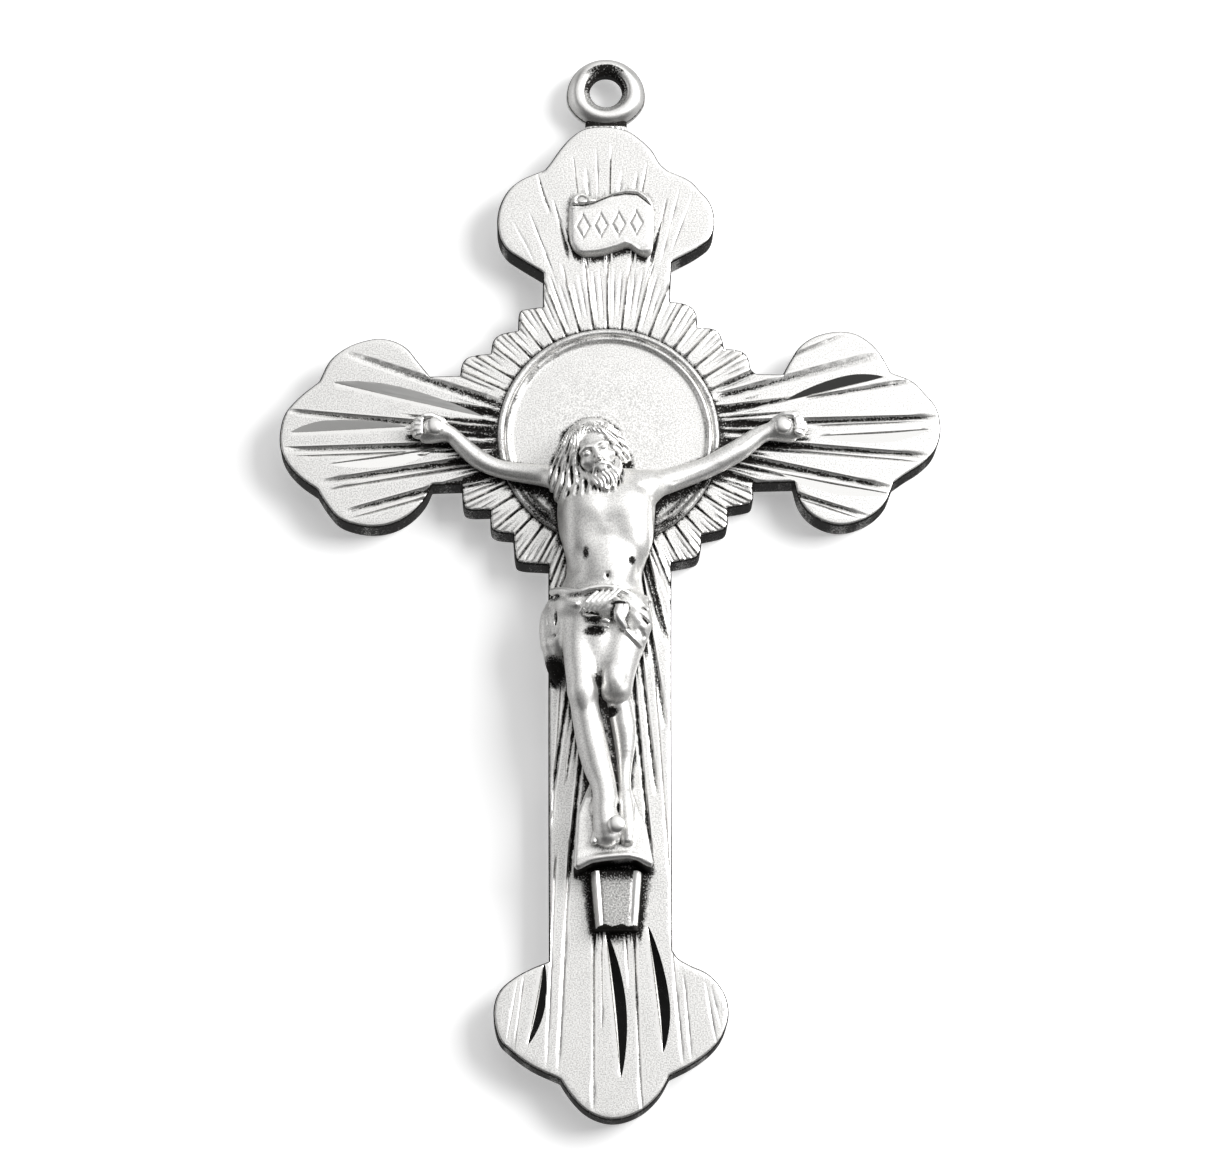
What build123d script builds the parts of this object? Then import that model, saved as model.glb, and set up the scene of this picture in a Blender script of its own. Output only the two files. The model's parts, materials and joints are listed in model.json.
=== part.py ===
from build123d import *
import os

# Halo crucifix pendant. Millimetres. +Z runs up the shaft and the face looks towards -Y.
# The origin is the centre of the hanging loop's eye.

# Cross plate
PLATE_T = 2.0              # thickness of the lobed plate
FRONT = -PLATE_T / 2       # y of the plate's face
EDGE_BEVEL = 0.12          # bevel all round the front edge
SHAFT_HALF = 2.92          # half width of the shaft
NECK_HALF = 3.05           # half width of the upper arm
ARM_TOP = -14.56           # upper edge of the side arms
ARM_BOTTOM = -19.92        # lower edge of the side arms
TOP_LOBE_TOP = -2.03       # top of the upper lobe
FOOT_LOBE_BOTTOM = -50.60  # lowest point of the cross
ARM_TIP = 15.95            # half span of the arms

# Halo and sunburst
HALO_Z = -17.62            # height of the halo's centre
HALO_R = 5.35              # radius of the halo disc
HALO_SEAT = 0.40           # depth of the disc's seat in the plate
HALO_RIM_R = 4.78          # inside radius of the raised rim
HALO_RIM_H = 0.18          # the rim stands this far above the plate's face
HALO_GROOVE_R = 5.05       # groove turned in the rim
RAY_COUNT = 50             # short flutes round the halo
RAY_BAR = 0.20             # side of the square bar whose corner cuts each V flute
RAY_START = 5.20           # the flutes begin just under the halo's rim
RAY_END = 7.60             # the short flutes run out before the steps' edges
ARM_RAYS = (-14.4, -7.2, 0.0, 7.2, 14.4)
ARM_RAY_END = 13.20
SHAFT_RAYS = (-6.0, -2.0, 2.0, 6.0)
SHAFT_RAY_END = 27.00
TOP_RAYS = (-14.4, -7.2, 0.0, 7.2, 14.4)
TOP_RAY_END = 11.80

# Hanging loop
LOOP_R = 1.93              # outside radius of the ring
LOOP_DROP = 0.20           # the ring's outer circle sits this far below its eye
LOOP_T = 1.30              # thickness of the ring
EYE_R = 0.80               # radius of the eye
EYE_SINK = 0.40            # depth of the countersink on each side
CHEEK_T = 0.90             # thickness of the cheeks that taper to the collar
COLLAR_HALF = 1.07         # half width of the collar under the ring

# Title scroll
SCROLL_X = 0.24
SCROLL_Z = -7.15
SCROLL_W = 4.15
SCROLL_H = 2.90
SCROLL_T = 0.50

# Figure
HAND_X = 8.35              # palms, either side of the shaft
HAND_Z = -17.35
HAND_T = 1.05              # the palms stand this far off the plate
FOOT_X = 0.20
FOOT_Z = -37.05
REST_T = 2.20              # the foot rest stands this far off the plate
REST_BOTTOM = -38.95       # lower edge of the foot rest
FEET_T = 0.75              # thickness of the crossed feet on the rest

# Foot bracket
BRACKET_T = 1.10
BRACKET_BOTTOM = -41.70

# Nails
SHANK_R = 0.28
NAIL_HOLE_R = 0.30
NAIL_HEAD_R = 0.42
NAIL_HEAD_T = 0.18
NAIL_BITE = 1.20           # depth of the blind holes in the plate
SHANK_CLEAR = 0.05         # gap below the end of each shank

FACE = Plane((0, 0, 0), x_dir=(1, 0, 0), z_dir=(0, -1, 0))
face_front = FACE.offset(-FRONT)
face_back = FACE.offset(FRONT)
halo_centre = (0, HALO_Z)

# ---------------------------------------------------------------- cross plate
with BuildPart() as cross_plate:
    with BuildSketch(face_back):
        with BuildLine():
            # right-hand side of the outline, from the upper lobe down
            side = ThreePointArc((2.95, -4.22), (5.33, -6.85), (3.13, -9.12))
            neck = Line(side @ 1, (NECK_HALF, -10.85))
            # three rounded steps of the sunburst above the arm
            s1 = Line(neck @ 1, (3.88, -10.92))
            s2 = ThreePointArc(s1 @ 1, (4.21, -11.10), (4.30, -11.46))
            s3 = Line(s2 @ 1, (4.36, -12.16))
            s4 = Line(s3 @ 1, (5.12, -12.22))
            s5 = ThreePointArc(s4 @ 1, (5.44, -12.38), (5.56, -12.72))
            s6 = Line(s5 @ 1, (5.68, -13.26))
            s7 = Line(s6 @ 1, (6.48, -13.32))
            s8 = ThreePointArc(s7 @ 1, (6.82, -13.48), (6.93, -13.80))
            s9 = ThreePointArc(s8 @ 1, (7.05, -14.32), (7.42, ARM_TOP))
            # side arm
            root = Line(s9 @ 1, (8.50, ARM_TOP))
            upper = ThreePointArc(root @ 1, (11.14, -12.52), (13.80, -14.64))
            tip = ThreePointArc(upper @ 1, (ARM_TIP, -17.42), (13.90, -19.90))
            lower = ThreePointArc(tip @ 1, (11.25, -22.04), (8.72, ARM_BOTTOM))
            under = Line(lower @ 1, (6.98, ARM_BOTTOM))
            # three rounded steps of the sunburst below the arm
            t1 = Line(under @ 1, (6.98, -20.66))
            t2 = ThreePointArc(t1 @ 1, (6.87, -20.98), (6.54, -21.10))
            t3 = Line(t2 @ 1, (5.72, -21.22))
            t4 = Line(t3 @ 1, (5.68, -21.86))
            t5 = ThreePointArc(t4 @ 1, (5.57, -22.20), (5.22, -22.34))
            t6 = Line(t5 @ 1, (4.55, -22.44))
            t7 = Line(t6 @ 1, (4.46, -23.20))
            t8 = ThreePointArc(t7 @ 1, (4.34, -23.58), (3.98, -23.72))
            t9 = Line(t8 @ 1, (SHAFT_HALF, -23.84))
            # shaft and lower lobes
            shaft = Line(t9 @ 1, (SHAFT_HALF, -42.90))
            foot_side = ThreePointArc(shaft @ 1, (5.55, -45.75), (2.58, -48.54))
            mirror(about=Plane.YZ)
            # the lobes at the top and the bottom close the outline
            ThreePointArc((-2.95, -4.22), (0, TOP_LOBE_TOP), (2.95, -4.22))
            ThreePointArc((-2.58, -48.54), (0, FOOT_LOBE_BOTTOM), (2.58, -48.54))
        make_face()
    extrude(amount=PLATE_T - EDGE_BEVEL)
    # the last layer tapers in at 45 degrees, which bevels the front edge
    extrude(cross_plate.faces().sort_by(Axis.Y)[0], amount=EDGE_BEVEL, taper=45)
    # seat for the halo disc
    with BuildSketch(FACE.offset(-FRONT - HALO_SEAT)):
        with Locations(halo_centre):
            Circle(HALO_R)
    extrude(amount=HALO_SEAT, mode=Mode.SUBTRACT)
    # blind holes for the three nails
    with BuildSketch(face_front):
        with Locations((-HAND_X, HAND_Z), (HAND_X, HAND_Z), (FOOT_X, FOOT_Z)):
            Circle(NAIL_HOLE_R)
    extrude(amount=-NAIL_BITE, mode=Mode.SUBTRACT)

# V flutes radiating from the halo, cut by the corners of long square bars
ray_plane = Plane((0, FRONT, HALO_Z), x_dir=(1, 0, 0), z_dir=(0, -1, 0))
with BuildPart(ray_plane) as ray_bars:
    with PolarLocations((RAY_START + RAY_END) / 2, RAY_COUNT):
        Box(RAY_END - RAY_START, RAY_BAR, RAY_BAR, rotation=(45, 0, 0))
    for angle in ARM_RAYS:
        with PolarLocations((RAY_START + ARM_RAY_END) / 2, 2, start_angle=angle):
            Box(ARM_RAY_END - RAY_START, RAY_BAR, RAY_BAR, rotation=(45, 0, 0))
    for angle in SHAFT_RAYS:
        with PolarLocations((RAY_START + SHAFT_RAY_END) / 2, 1, start_angle=angle - 90):
            Box(SHAFT_RAY_END - RAY_START, RAY_BAR, RAY_BAR, rotation=(45, 0, 0))
    for angle in TOP_RAYS:
        with PolarLocations((RAY_START + TOP_RAY_END) / 2, 1, start_angle=angle + 90):
            Box(TOP_RAY_END - RAY_START, RAY_BAR, RAY_BAR, rotation=(45, 0, 0))
cross = cross_plate.part - ray_bars.part
cross.label = "cross_plate"

# ------------------------------------------------------------------ halo disc
with BuildPart() as halo_disc:
    with BuildSketch(FACE.offset(-FRONT - HALO_SEAT)):
        with Locations(halo_centre):
            Circle(HALO_R)
    extrude(amount=HALO_SEAT)
    with BuildSketch(face_front):
        with Locations(halo_centre):
            Circle(HALO_R)
            Circle(HALO_RIM_R, mode=Mode.SUBTRACT)
    extrude(amount=HALO_RIM_H)
    rim_edges = halo_disc.faces().sort_by(Axis.Y)[0].edges()
    chamfer(rim_edges, length=0.08)
    with BuildSketch(FACE.offset(-FRONT + HALO_RIM_H)):
        with Locations(halo_centre):
            Circle(HALO_GROOVE_R + 0.05)
            Circle(HALO_GROOVE_R - 0.05, mode=Mode.SUBTRACT)
    extrude(amount=-0.08, mode=Mode.SUBTRACT)
halo_disc.part.label = "halo_disc"

# --------------------------------------------------------------- title scroll
with BuildPart() as title_scroll:
    with BuildSketch(face_front):
        with BuildLine():
            left = SCROLL_X - SCROLL_W / 2
            right = SCROLL_X + SCROLL_W / 2
            top_z = SCROLL_Z + SCROLL_H / 2
            low_z = SCROLL_Z - SCROLL_H / 2
            wave = Spline((left, top_z - 0.15), (left + 1.1, top_z - 0.25),
                          (left + 2.6, top_z + 0.20), (right, top_z - 0.10))
            edge = Line(wave @ 1, (right, low_z - 0.10))
            swell = Spline(edge @ 1, (right - 1.4, low_z + 0.15),
                           (left + 1.2, low_z - 0.15), (left + 0.1, low_z + 0.10))
            Line(swell @ 1, wave @ 0)
        make_face()
    extrude(amount=SCROLL_T)
    fillet(title_scroll.faces().sort_by(Axis.Y)[0].edges(), radius=0.10)
    # four plain lozenges cut in the face of the scroll
    with BuildSketch(FACE.offset(-FRONT + SCROLL_T)):
        with Locations((SCROLL_X, SCROLL_Z)):
            with GridLocations(0.86, 1, 4, 1):
                Rectangle(0.36, 0.36, rotation=45)
    extrude(amount=-0.10, mode=Mode.SUBTRACT)
title_scroll.part.label = "title_scroll"

# --------------------------------------------------------------- hanging loop
with BuildPart() as loop_blank:
    with BuildSketch(FACE.offset(-LOOP_T / 2)):
        with Locations((0, -LOOP_DROP)):
            Circle(LOOP_R)
    extrude(amount=LOOP_T)
    fillet(loop_blank.edges().filter_by(GeomType.CIRCLE), radius=0.55)
    # cheeks that taper from the ring to the collar
    with BuildSketch(FACE.offset(-CHEEK_T / 2)):
        with BuildLine():
            Polyline((-1.72, -1.00), (1.72, -1.00), (COLLAR_HALF, -1.75), (-COLLAR_HALF, -1.75), close=True)
        make_face()
    extrude(amount=CHEEK_T)
    # collar that meets the top of the plate, with a raised band round it
    with Locations((0, 0, -1.95)):
        Box(2 * COLLAR_HALF, CHEEK_T, 0.90)
    with Locations((0, 0, -2.02)):
        Box(2 * COLLAR_HALF, 1.20, 0.36)
    # countersunk eye
    with BuildSketch(FACE.offset(-LOOP_T)):
        Circle(EYE_R)
    extrude(amount=2 * LOOP_T, mode=Mode.SUBTRACT)
    round_edges = loop_blank.edges().filter_by(GeomType.CIRCLE)
    eye_edges = round_edges.filter_by(lambda edge: abs(edge.radius - EYE_R) < 0.01)
    chamfer(eye_edges, length=EYE_SINK, length2=0.34)
loop = loop_blank.part - cross_plate.part
loop.label = "hanging_loop"


# --------------------------------------------------------------------- figure
def limb(start, end, r_start, r_end):
    """Round tapered limb with a ball at each end."""
    run = Vector(*end) - Vector(*start)
    with Locations(Plane(origin=start, z_dir=run)):
        Cone(r_start, r_end, run.length, align=(Align.CENTER, Align.CENTER, Align.MIN))
    with Locations(start):
        Sphere(r_start)
    with Locations(end):
        Sphere(r_end)


with BuildPart() as figure_blank:
    # torso, from the hips up to the shoulders
    for z, half_x, half_y in ((-28.90, 2.05, 1.75), (-27.00, 2.30, 1.95), (-25.00, 1.95, 1.55),
                              (-22.40, 2.30, 1.95), (-20.70, 2.35, 1.25)):
        with BuildSketch(Plane((0, FRONT - 0.95, z))):
            Ellipse(half_x, half_y)
    loft()
    # neck, head and hair
    limb((-0.25, -2.60, -21.10), (-0.70, -2.90, -20.10), 0.85, 0.90)
    with Locations((-0.72, -3.00, -19.15)):
        Sphere(1.62)
    # arms, each from shoulder through elbow to wrist
    limb((-2.00, -2.10, -20.40), (-5.20, -1.75, -18.75), 0.80, 0.56)
    limb((-5.20, -1.75, -18.75), (-7.60, -1.55, -17.65), 0.56, 0.42)
    limb((2.00, -2.10, -20.40), (5.00, -1.75, -18.80), 0.80, 0.57)
    limb((5.00, -1.75, -18.80), (7.60, -1.55, -17.70), 0.57, 0.43)
    # legs, each from hip through knee to ankle
    limb((-1.15, -2.60, -28.00), (-1.10, -3.55, -31.00), 1.15, 0.88)
    limb((-1.10, -3.55, -31.00), (0.05, -3.45, -35.90), 0.84, 0.55)
    limb((1.05, -2.60, -28.00), (0.55, -3.60, -30.80), 1.14, 0.89)
    limb((0.55, -3.60, -30.80), (0.45, -3.05, -35.80), 0.83, 0.54)
    # knot and hanging end of the loincloth
    limb((-2.55, -2.10, -26.40), (-2.60, -1.90, -28.40), 0.62, 0.66)
    limb((0.15, -3.90, -26.70), (0.70, -3.75, -27.70), 0.40, 0.55)
    # flat palms with the nails through them
    with BuildSketch(face_front):
        with Locations((-HAND_X, HAND_Z), (HAND_X, HAND_Z)):
            Ellipse(0.95, 0.78)
    extrude(amount=HAND_T)
    # flared foot rest, and the crossed feet flat on it
    with BuildSketch(face_front):
        with BuildLine():
            Polyline((-1.15, -35.50), (1.25, -35.50), (2.00, REST_BOTTOM), (-1.75, REST_BOTTOM), close=True)
        make_face()
    extrude(amount=REST_T)
    with BuildSketch(FACE.offset(-FRONT + REST_T)):
        with Locations((FOOT_X, FOOT_Z + 0.25)):
            Ellipse(0.95, 1.35)
    extrude(amount=FEET_T)
    # flat back that lies on the plate
    with Locations((0, FRONT, -28)):
        Box(40, 20, 40, align=(Align.CENTER, Align.MIN, Align.CENTER), mode=Mode.SUBTRACT)
    # nail holes
    with BuildSketch(face_front):
        with Locations((-HAND_X, HAND_Z), (HAND_X, HAND_Z), (FOOT_X, FOOT_Z)):
            Circle(NAIL_HOLE_R)
    extrude(amount=10, mode=Mode.SUBTRACT)
figure = figure_blank.part - halo_disc.part
figure.label = "corpus"

# --------------------------------------------------------------- foot bracket
with BuildPart() as foot_bracket:
    with BuildSketch(Plane((FOOT_X, FRONT, REST_BOTTOM), x_dir=(1, 0, 0), z_dir=(0, 0, -1))):
        with BuildLine():
            Polyline((-1.35, 0), (1.35, 0), (0.95, BRACKET_T), (-0.95, BRACKET_T), close=True)
        make_face()
    with BuildSketch(Plane((FOOT_X, FRONT, BRACKET_BOTTOM), x_dir=(1, 0, 0), z_dir=(0, 0, -1))):
        with BuildLine():
            Polyline((-1.05, 0), (1.05, 0), (0.78, BRACKET_T), (-0.78, BRACKET_T), close=True)
        make_face()
    loft()
foot_bracket.part.label = "foot_bracket"


# ---------------------------------------------------------------------- nails
def nail(x, z, reach):
    """Nail standing in its blind hole: shank, then a low tapered head."""
    foot = Plane((x, FRONT + NAIL_BITE - SHANK_CLEAR, z), x_dir=(1, 0, 0), z_dir=(0, -1, 0))
    with Locations(foot):
        Cylinder(SHANK_R, reach, align=(Align.CENTER, Align.CENTER, Align.MIN))
    with Locations(foot.offset(reach)):
        Cone(NAIL_HEAD_R, 0.7 * NAIL_HEAD_R, NAIL_HEAD_T, align=(Align.CENTER, Align.CENTER, Align.MIN))


hand_reach = NAIL_BITE - SHANK_CLEAR + HAND_T
foot_reach = NAIL_BITE - SHANK_CLEAR + REST_T + FEET_T

with BuildPart() as left_hand_nail:
    nail(-HAND_X, HAND_Z, hand_reach)
left_hand_nail.part.label = "left_hand_nail"

with BuildPart() as right_hand_nail:
    nail(HAND_X, HAND_Z, hand_reach)
right_hand_nail.part.label = "right_hand_nail"

with BuildPart() as foot_nail:
    nail(FOOT_X, FOOT_Z, foot_reach)
foot_nail.part.label = "foot_nail"

# ---------------------------------------------------------------------- files
os.makedirs("parts", exist_ok=True)
export_step(cross, "parts/cross_plate.step")
export_step(halo_disc.part, "parts/halo_disc.step")
export_step(title_scroll.part, "parts/title_scroll.step")
export_step(loop, "parts/hanging_loop.step")
export_step(figure, "parts/corpus.step")
export_step(foot_bracket.part, "parts/foot_bracket.step")
export_step(left_hand_nail.part, "parts/left_hand_nail.step")
export_step(right_hand_nail.part, "parts/right_hand_nail.step")
export_step(foot_nail.part, "parts/foot_nail.step")
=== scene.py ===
import json
import math

import bpy
import numpy as np
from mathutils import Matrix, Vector
from mathutils.geometry import delaunay_2d_cdt

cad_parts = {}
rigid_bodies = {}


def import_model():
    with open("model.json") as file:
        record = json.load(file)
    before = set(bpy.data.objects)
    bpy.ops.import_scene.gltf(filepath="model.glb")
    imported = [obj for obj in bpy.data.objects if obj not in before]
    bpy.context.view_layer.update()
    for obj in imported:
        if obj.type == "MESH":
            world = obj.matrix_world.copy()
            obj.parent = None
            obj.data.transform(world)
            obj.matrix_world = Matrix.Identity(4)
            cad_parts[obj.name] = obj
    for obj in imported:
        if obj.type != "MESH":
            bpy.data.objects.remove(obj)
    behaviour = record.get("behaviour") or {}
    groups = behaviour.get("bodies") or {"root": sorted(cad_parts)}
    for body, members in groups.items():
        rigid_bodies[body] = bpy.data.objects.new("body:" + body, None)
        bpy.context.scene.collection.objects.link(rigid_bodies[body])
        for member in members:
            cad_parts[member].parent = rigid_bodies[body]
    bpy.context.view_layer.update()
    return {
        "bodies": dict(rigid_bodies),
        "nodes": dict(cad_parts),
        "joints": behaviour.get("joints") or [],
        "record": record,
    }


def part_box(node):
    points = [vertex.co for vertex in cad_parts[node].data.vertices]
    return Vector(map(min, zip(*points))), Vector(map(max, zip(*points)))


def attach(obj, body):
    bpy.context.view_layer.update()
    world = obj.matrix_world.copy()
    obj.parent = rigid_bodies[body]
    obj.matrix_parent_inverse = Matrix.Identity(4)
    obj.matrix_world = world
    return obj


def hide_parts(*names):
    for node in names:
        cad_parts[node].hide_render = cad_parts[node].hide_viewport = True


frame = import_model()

# Halo crucifix pendant: looks around the imported CAD frame.
# Shapes are worked out in millimetres from the middle of the halo, +z up the shaft and the face
# towards -y, then scaled to metres and put in the frame when a mesh is made.
# Every mesh stores one value, tone: -1 is rubbed bright, 0 satin and 1 black, which is oxide in the hollows
# and, in places, painted shade and shadow.
MM = 1000.0
disc_corners = [np.array(c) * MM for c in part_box("halo_disc")]
HALO = (disc_corners[0] + disc_corners[1]) / 2
HALO[1] = 0.0


def node_box(node):
    low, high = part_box(node)
    return np.array(low) * MM - HALO, np.array(high) * MM - HALO


plate_lo, plate_hi = node_box("cross_plate")
disc_lo, disc_hi = node_box("halo_disc")
loop_lo, loop_hi = node_box("hanging_loop")
scroll_lo, _ = node_box("title_scroll")
bracket_lo, bracket_hi = node_box("foot_bracket")
FRONT, BACK = plate_lo[1], plate_hi[1]
HALO_R = (disc_hi[0] - disc_lo[0]) / 2
UNDER = FRONT + 0.02  # applied pieces end just under the face
NAILS = {name: node_box(name) for name in ("left_hand_nail", "right_hand_nail", "foot_nail")}


# ---------------------------------------------------------------- mesh helpers
def in_frame(points):
    """Millimetres from the halo's centre to metres in the frame."""
    return (np.asarray(points, float) + HALO) / MM


def linked(name, data):
    """A new object in the scene."""
    obj = bpy.data.objects.new(name, data)
    bpy.context.scene.collection.objects.link(obj)
    return obj


def build(name, verts, faces, tone, node, mats, sharp=None, face_mats=None, slot="silver"):
    """A mesh object with the given tone, riding on the root body in place of its CAD node."""
    mesh = bpy.data.meshes.new(name)
    mesh.from_pydata(in_frame(verts).tolist(), [], [list(map(int, f)) for f in faces])
    for mat in mats:
        mesh.materials.append(mat)
    if face_mats is not None:
        mesh.polygons.foreach_set("material_index", np.asarray(face_mats, np.int32))
    mesh.attributes.new("tone", "FLOAT", "POINT").data.foreach_set("value", np.asarray(tone, np.float32))
    mesh.validate()
    mesh.update()
    mesh.polygons.foreach_set("use_smooth", np.ones(len(mesh.polygons), bool))
    if sharp is not None:
        mesh.set_sharp_from_angle(angle=math.radians(sharp))
    if face_mats is not None:
        keep_creases(mesh)
    obj = linked(name, mesh)
    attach(obj, "root")
    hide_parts(node)


def keep_creases(mesh):
    """Mark the edges between two materials sharp, so that a flat cut stays a flat mirror."""
    beside = {}
    for face in mesh.polygons:
        for key in face.edge_keys:
            beside.setdefault(key, set()).add(face.material_index)
    for edge in mesh.edges:
        if len(beside.get(edge.key, ())) > 1:
            edge.use_edge_sharp = True


def catmull(points, step=0.12):
    """Points along a smooth curve through the given ones, ends included."""
    p = np.asarray(points, float)
    if len(p) == 2:
        n = max(1, int(np.linalg.norm(p[1] - p[0]) / 0.5))
        return p[0] + (p[1] - p[0]) * np.linspace(0, 1, n + 1)[:, None]
    ext = np.vstack([2 * p[0] - p[1], p, 2 * p[-1] - p[-2]])
    out = [p[0]]
    for i in range(1, len(ext) - 2):
        a, b, c, d = ext[i - 1 : i + 3]
        ta, tb, tc = (max(1e-6, np.linalg.norm(v) ** 0.5) for v in (b - a, c - b, d - c))
        m0 = tb * ((b - a) / ta - (c - a) / (ta + tb) + (c - b) / tb)
        m1 = tb * ((c - b) / tb - (d - b) / (tb + tc) + (d - c) / tc)
        n = max(1, int(math.ceil(np.linalg.norm(c - b) / step)))
        for t in np.linspace(0, 1, n + 1)[1:]:
            h = (2 * t**3 - 3 * t**2 + 1, t**3 - 2 * t**2 + t, -2 * t**3 + 3 * t**2, t**3 - t**2)
            out.append(h[0] * b + h[1] * m0 + h[2] * c + h[3] * m1)
    return np.array(out)


def loop_distance(pts, loop):
    """Distance of each point to a closed polyline."""
    ab = np.roll(loop, -1, axis=0) - loop
    length2 = (ab**2).sum(1) + 1e-18
    best = np.full(len(pts), 1e9)
    for s in range(0, len(pts), 2000):
        q = pts[s : s + 2000, None, :]
        t = np.clip(((q - loop) * ab).sum(2) / length2, 0, 1)
        best[s : s + 2000] = np.sqrt((((loop + t[..., None] * ab) - q) ** 2).sum(2)).min(1)
    return best


def inside(pts, loop):
    """Even-odd test of points against a closed polyline."""
    x, z = pts[:, 0], pts[:, 1]
    hit = np.zeros(len(pts), bool)
    for (x0, z0), (x1, z1) in zip(loop, np.roll(loop, -1, axis=0)):
        if z0 != z1:
            hit ^= ((z0 > z) != (z1 > z)) & (x < (x1 - x0) * (z - z0) / (z1 - z0) + x0)
    return hit


def inward_normals(loop):
    """Unit normals of a counter-clockwise closed polyline, towards its inside."""
    tangent = np.roll(loop, -1, axis=0) - np.roll(loop, 1, axis=0)
    tangent /= np.linalg.norm(tangent, axis=1)[:, None] + 1e-12
    return np.stack([-tangent[:, 1], tangent[:, 0]], 1)


def scattered(loop, pitch, gap):
    """Evenly spread points of the plate inside a loop and at least gap from it."""
    xs, zs = (np.arange(plate_lo[i], plate_hi[i], step) for i, step in ((0, pitch), (2, pitch * 0.87)))
    gx, gz = np.meshgrid(xs, zs)
    gx[1::2] += pitch / 2
    grid = np.stack([gx.ravel(), gz.ravel()], 1)
    grid = grid[inside(grid, loop)]
    return grid[loop_distance(grid, loop) > gap]


def hash_noise(p, scale, seed):
    """Smooth value noise in the plane, from 0 to 1, the same each run."""
    q = p * scale
    i = np.floor(q).astype(np.int64)
    f = q - i
    fx, fy = (f * f * (3 - 2 * f)).T

    def value(dx, dy):
        h = ((i[:, 0] + dx) * 374761393 + (i[:, 1] + dy) * 668265263 + seed * 1442695041) & 0x7FFFFFFF
        h = ((h ^ (h >> 13)) * 1274126177) & 0x7FFFFFFF
        return ((h ^ (h >> 16)) & 0xFFFF) / 65535.0

    near = value(0, 0) * (1 - fx) + value(1, 0) * fx
    far = value(0, 1) * (1 - fx) + value(1, 1) * fx
    return near * (1 - fy) + far * fy


# ------------------------------------------------------------------- materials
SILVER = (0.975, 0.968, 0.95, 1)
OXIDE = (0.01, 0.009, 0.008, 1)


class Nodes:
    """Short ways to make shader nodes in one tree."""

    def __init__(self, tree):
        self.tree = tree
        tree.nodes.clear()
        self.coord = self.new("TexCoord")

    def new(self, kind, inputs=()):
        """A node with values or links put in its inputs, given as (socket, value) pairs."""
        node = self.tree.nodes.new("ShaderNode" + kind)
        for socket, value in inputs:
            if hasattr(value, "is_linked"):
                self.tree.links.new(value, node.inputs[socket])
            else:
                node.inputs[socket].default_value = value
        return node

    def noise(self, scale, detail=2.0):
        where = self.coord.outputs["Object"]
        return self.new("TexNoise", (("Scale", scale), ("Detail", detail),
            ("Vector", where))).outputs["Fac"]

    def calc(self, operation, a, b):
        node = self.new("Math", ((0, a), (1, b)))
        node.operation = operation
        return node.outputs[0]

    def remap(self, value, low, high, to_low, to_high):
        ends = (("From Min", low), ("From Max", high), ("To Min", to_low), ("To Max", to_high))
        return self.new("MapRange", (("Value", value), *ends)).outputs[0]

    def mix(self, factor, a, b, blend="MIX"):
        node = self.new("MixRGB", ((0, factor), (1, a), (2, b)))
        node.blend_type = blend
        return node.outputs[0]

    def bump(self, height, strength):
        inputs = (("Strength", strength), ("Distance", 0.00001), ("Height", height))
        return self.new("Bump", inputs).outputs[0]


def new_material(name):
    """An empty material and the maker of its nodes."""
    mat = bpy.data.materials.new(name)
    mat.use_nodes = True
    return mat, Nodes(mat.node_tree)


def antiqued(name, satin, rough, grain, specks):
    """Silver that follows the mesh's tone: rubbed bright, satin or blackened, where blackened is oxide and,
    in places, painted shade.
    """
    mat, n = new_material(name)
    tone = n.new("Attribute")
    tone.attribute_name = "tone"
    tone = tone.outputs["Fac"]
    fine, speck, cloud = n.noise(15000.0, 1.0), n.noise(13000.0), n.noise(900.0)
    # blackening breaks up into specks where it is thin
    dark = n.calc("MAXIMUM", tone, 0.0)
    jitter = n.calc("MULTIPLY", n.calc("SUBTRACT", speck, 0.5), specks)
    level = n.calc("ADD", dark, n.calc("MULTIPLY", dark, jitter))
    black = n.remap(level, 0.2, 0.66, 0.0, 1.0)
    shine = n.calc("MAXIMUM", n.calc("MULTIPLY", tone, -1.0), 0.0)
    # grain of the blasted skin, gone where the metal is rubbed
    pits = n.remap(fine, 0.36, 0.6, 1.0 - 0.26 * grain, 1.0)
    patch = n.remap(cloud, 0.3, 0.7, 0.95, 1.0)
    skin = n.calc("MULTIPLY", n.calc("MULTIPLY", pits, patch), satin)
    value = n.calc("ADD", n.calc("MULTIPLY", skin, n.calc("SUBTRACT", 1.0, shine)), shine)
    tint = n.mix(1.0, SILVER, value, "MULTIPLY")
    base = n.calc("ADD", rough - 0.05, n.calc("MULTIPLY", speck, 0.1))
    worn = n.calc("SUBTRACT", n.calc("MULTIPLY", black, 0.2), n.calc("MULTIPLY", shine, 0.13))
    metal = n.new("BsdfPrincipled", (
        ("Base Color", n.mix(black, tint, OXIDE)),
        ("Metallic", n.calc("SUBTRACT", 1.0, n.calc("MULTIPLY", black, 0.95))),
        ("Specular IOR Level", 0.12),
        ("Roughness", n.calc("ADD", base, worn)),
        ("Normal", n.bump(n.calc("ADD", fine, speck), 0.25 * grain)),
    ))
    n.new("OutputMaterial", ((0, metal.outputs[0]),))
    return mat


def bright_cut():
    """Mirror left by a wheel cut, with the faint lines of the wheel."""
    mat, n = new_material("silver_bright_cut")
    lines = n.noise(2500.0)
    metal = n.new("BsdfPrincipled", (
        ("Base Color", SILVER),
        ("Metallic", 1.0),
        ("Roughness", n.remap(lines, 0.3, 0.7, 0.03, 0.1)),
        ("Normal", n.bump(lines, 0.06)),
    ))
    n.new("OutputMaterial", ((0, metal.outputs[0]),))
    return mat


satin = antiqued("silver_satin", 0.98, 0.42, 1.3, 2.4)
cast = antiqued("silver_cast", 0.97, 0.47, 1.0, 2.0)
pin = antiqued("silver_pin", 0.95, 0.38, 0.3, 1.6)
cut = bright_cut()

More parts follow.
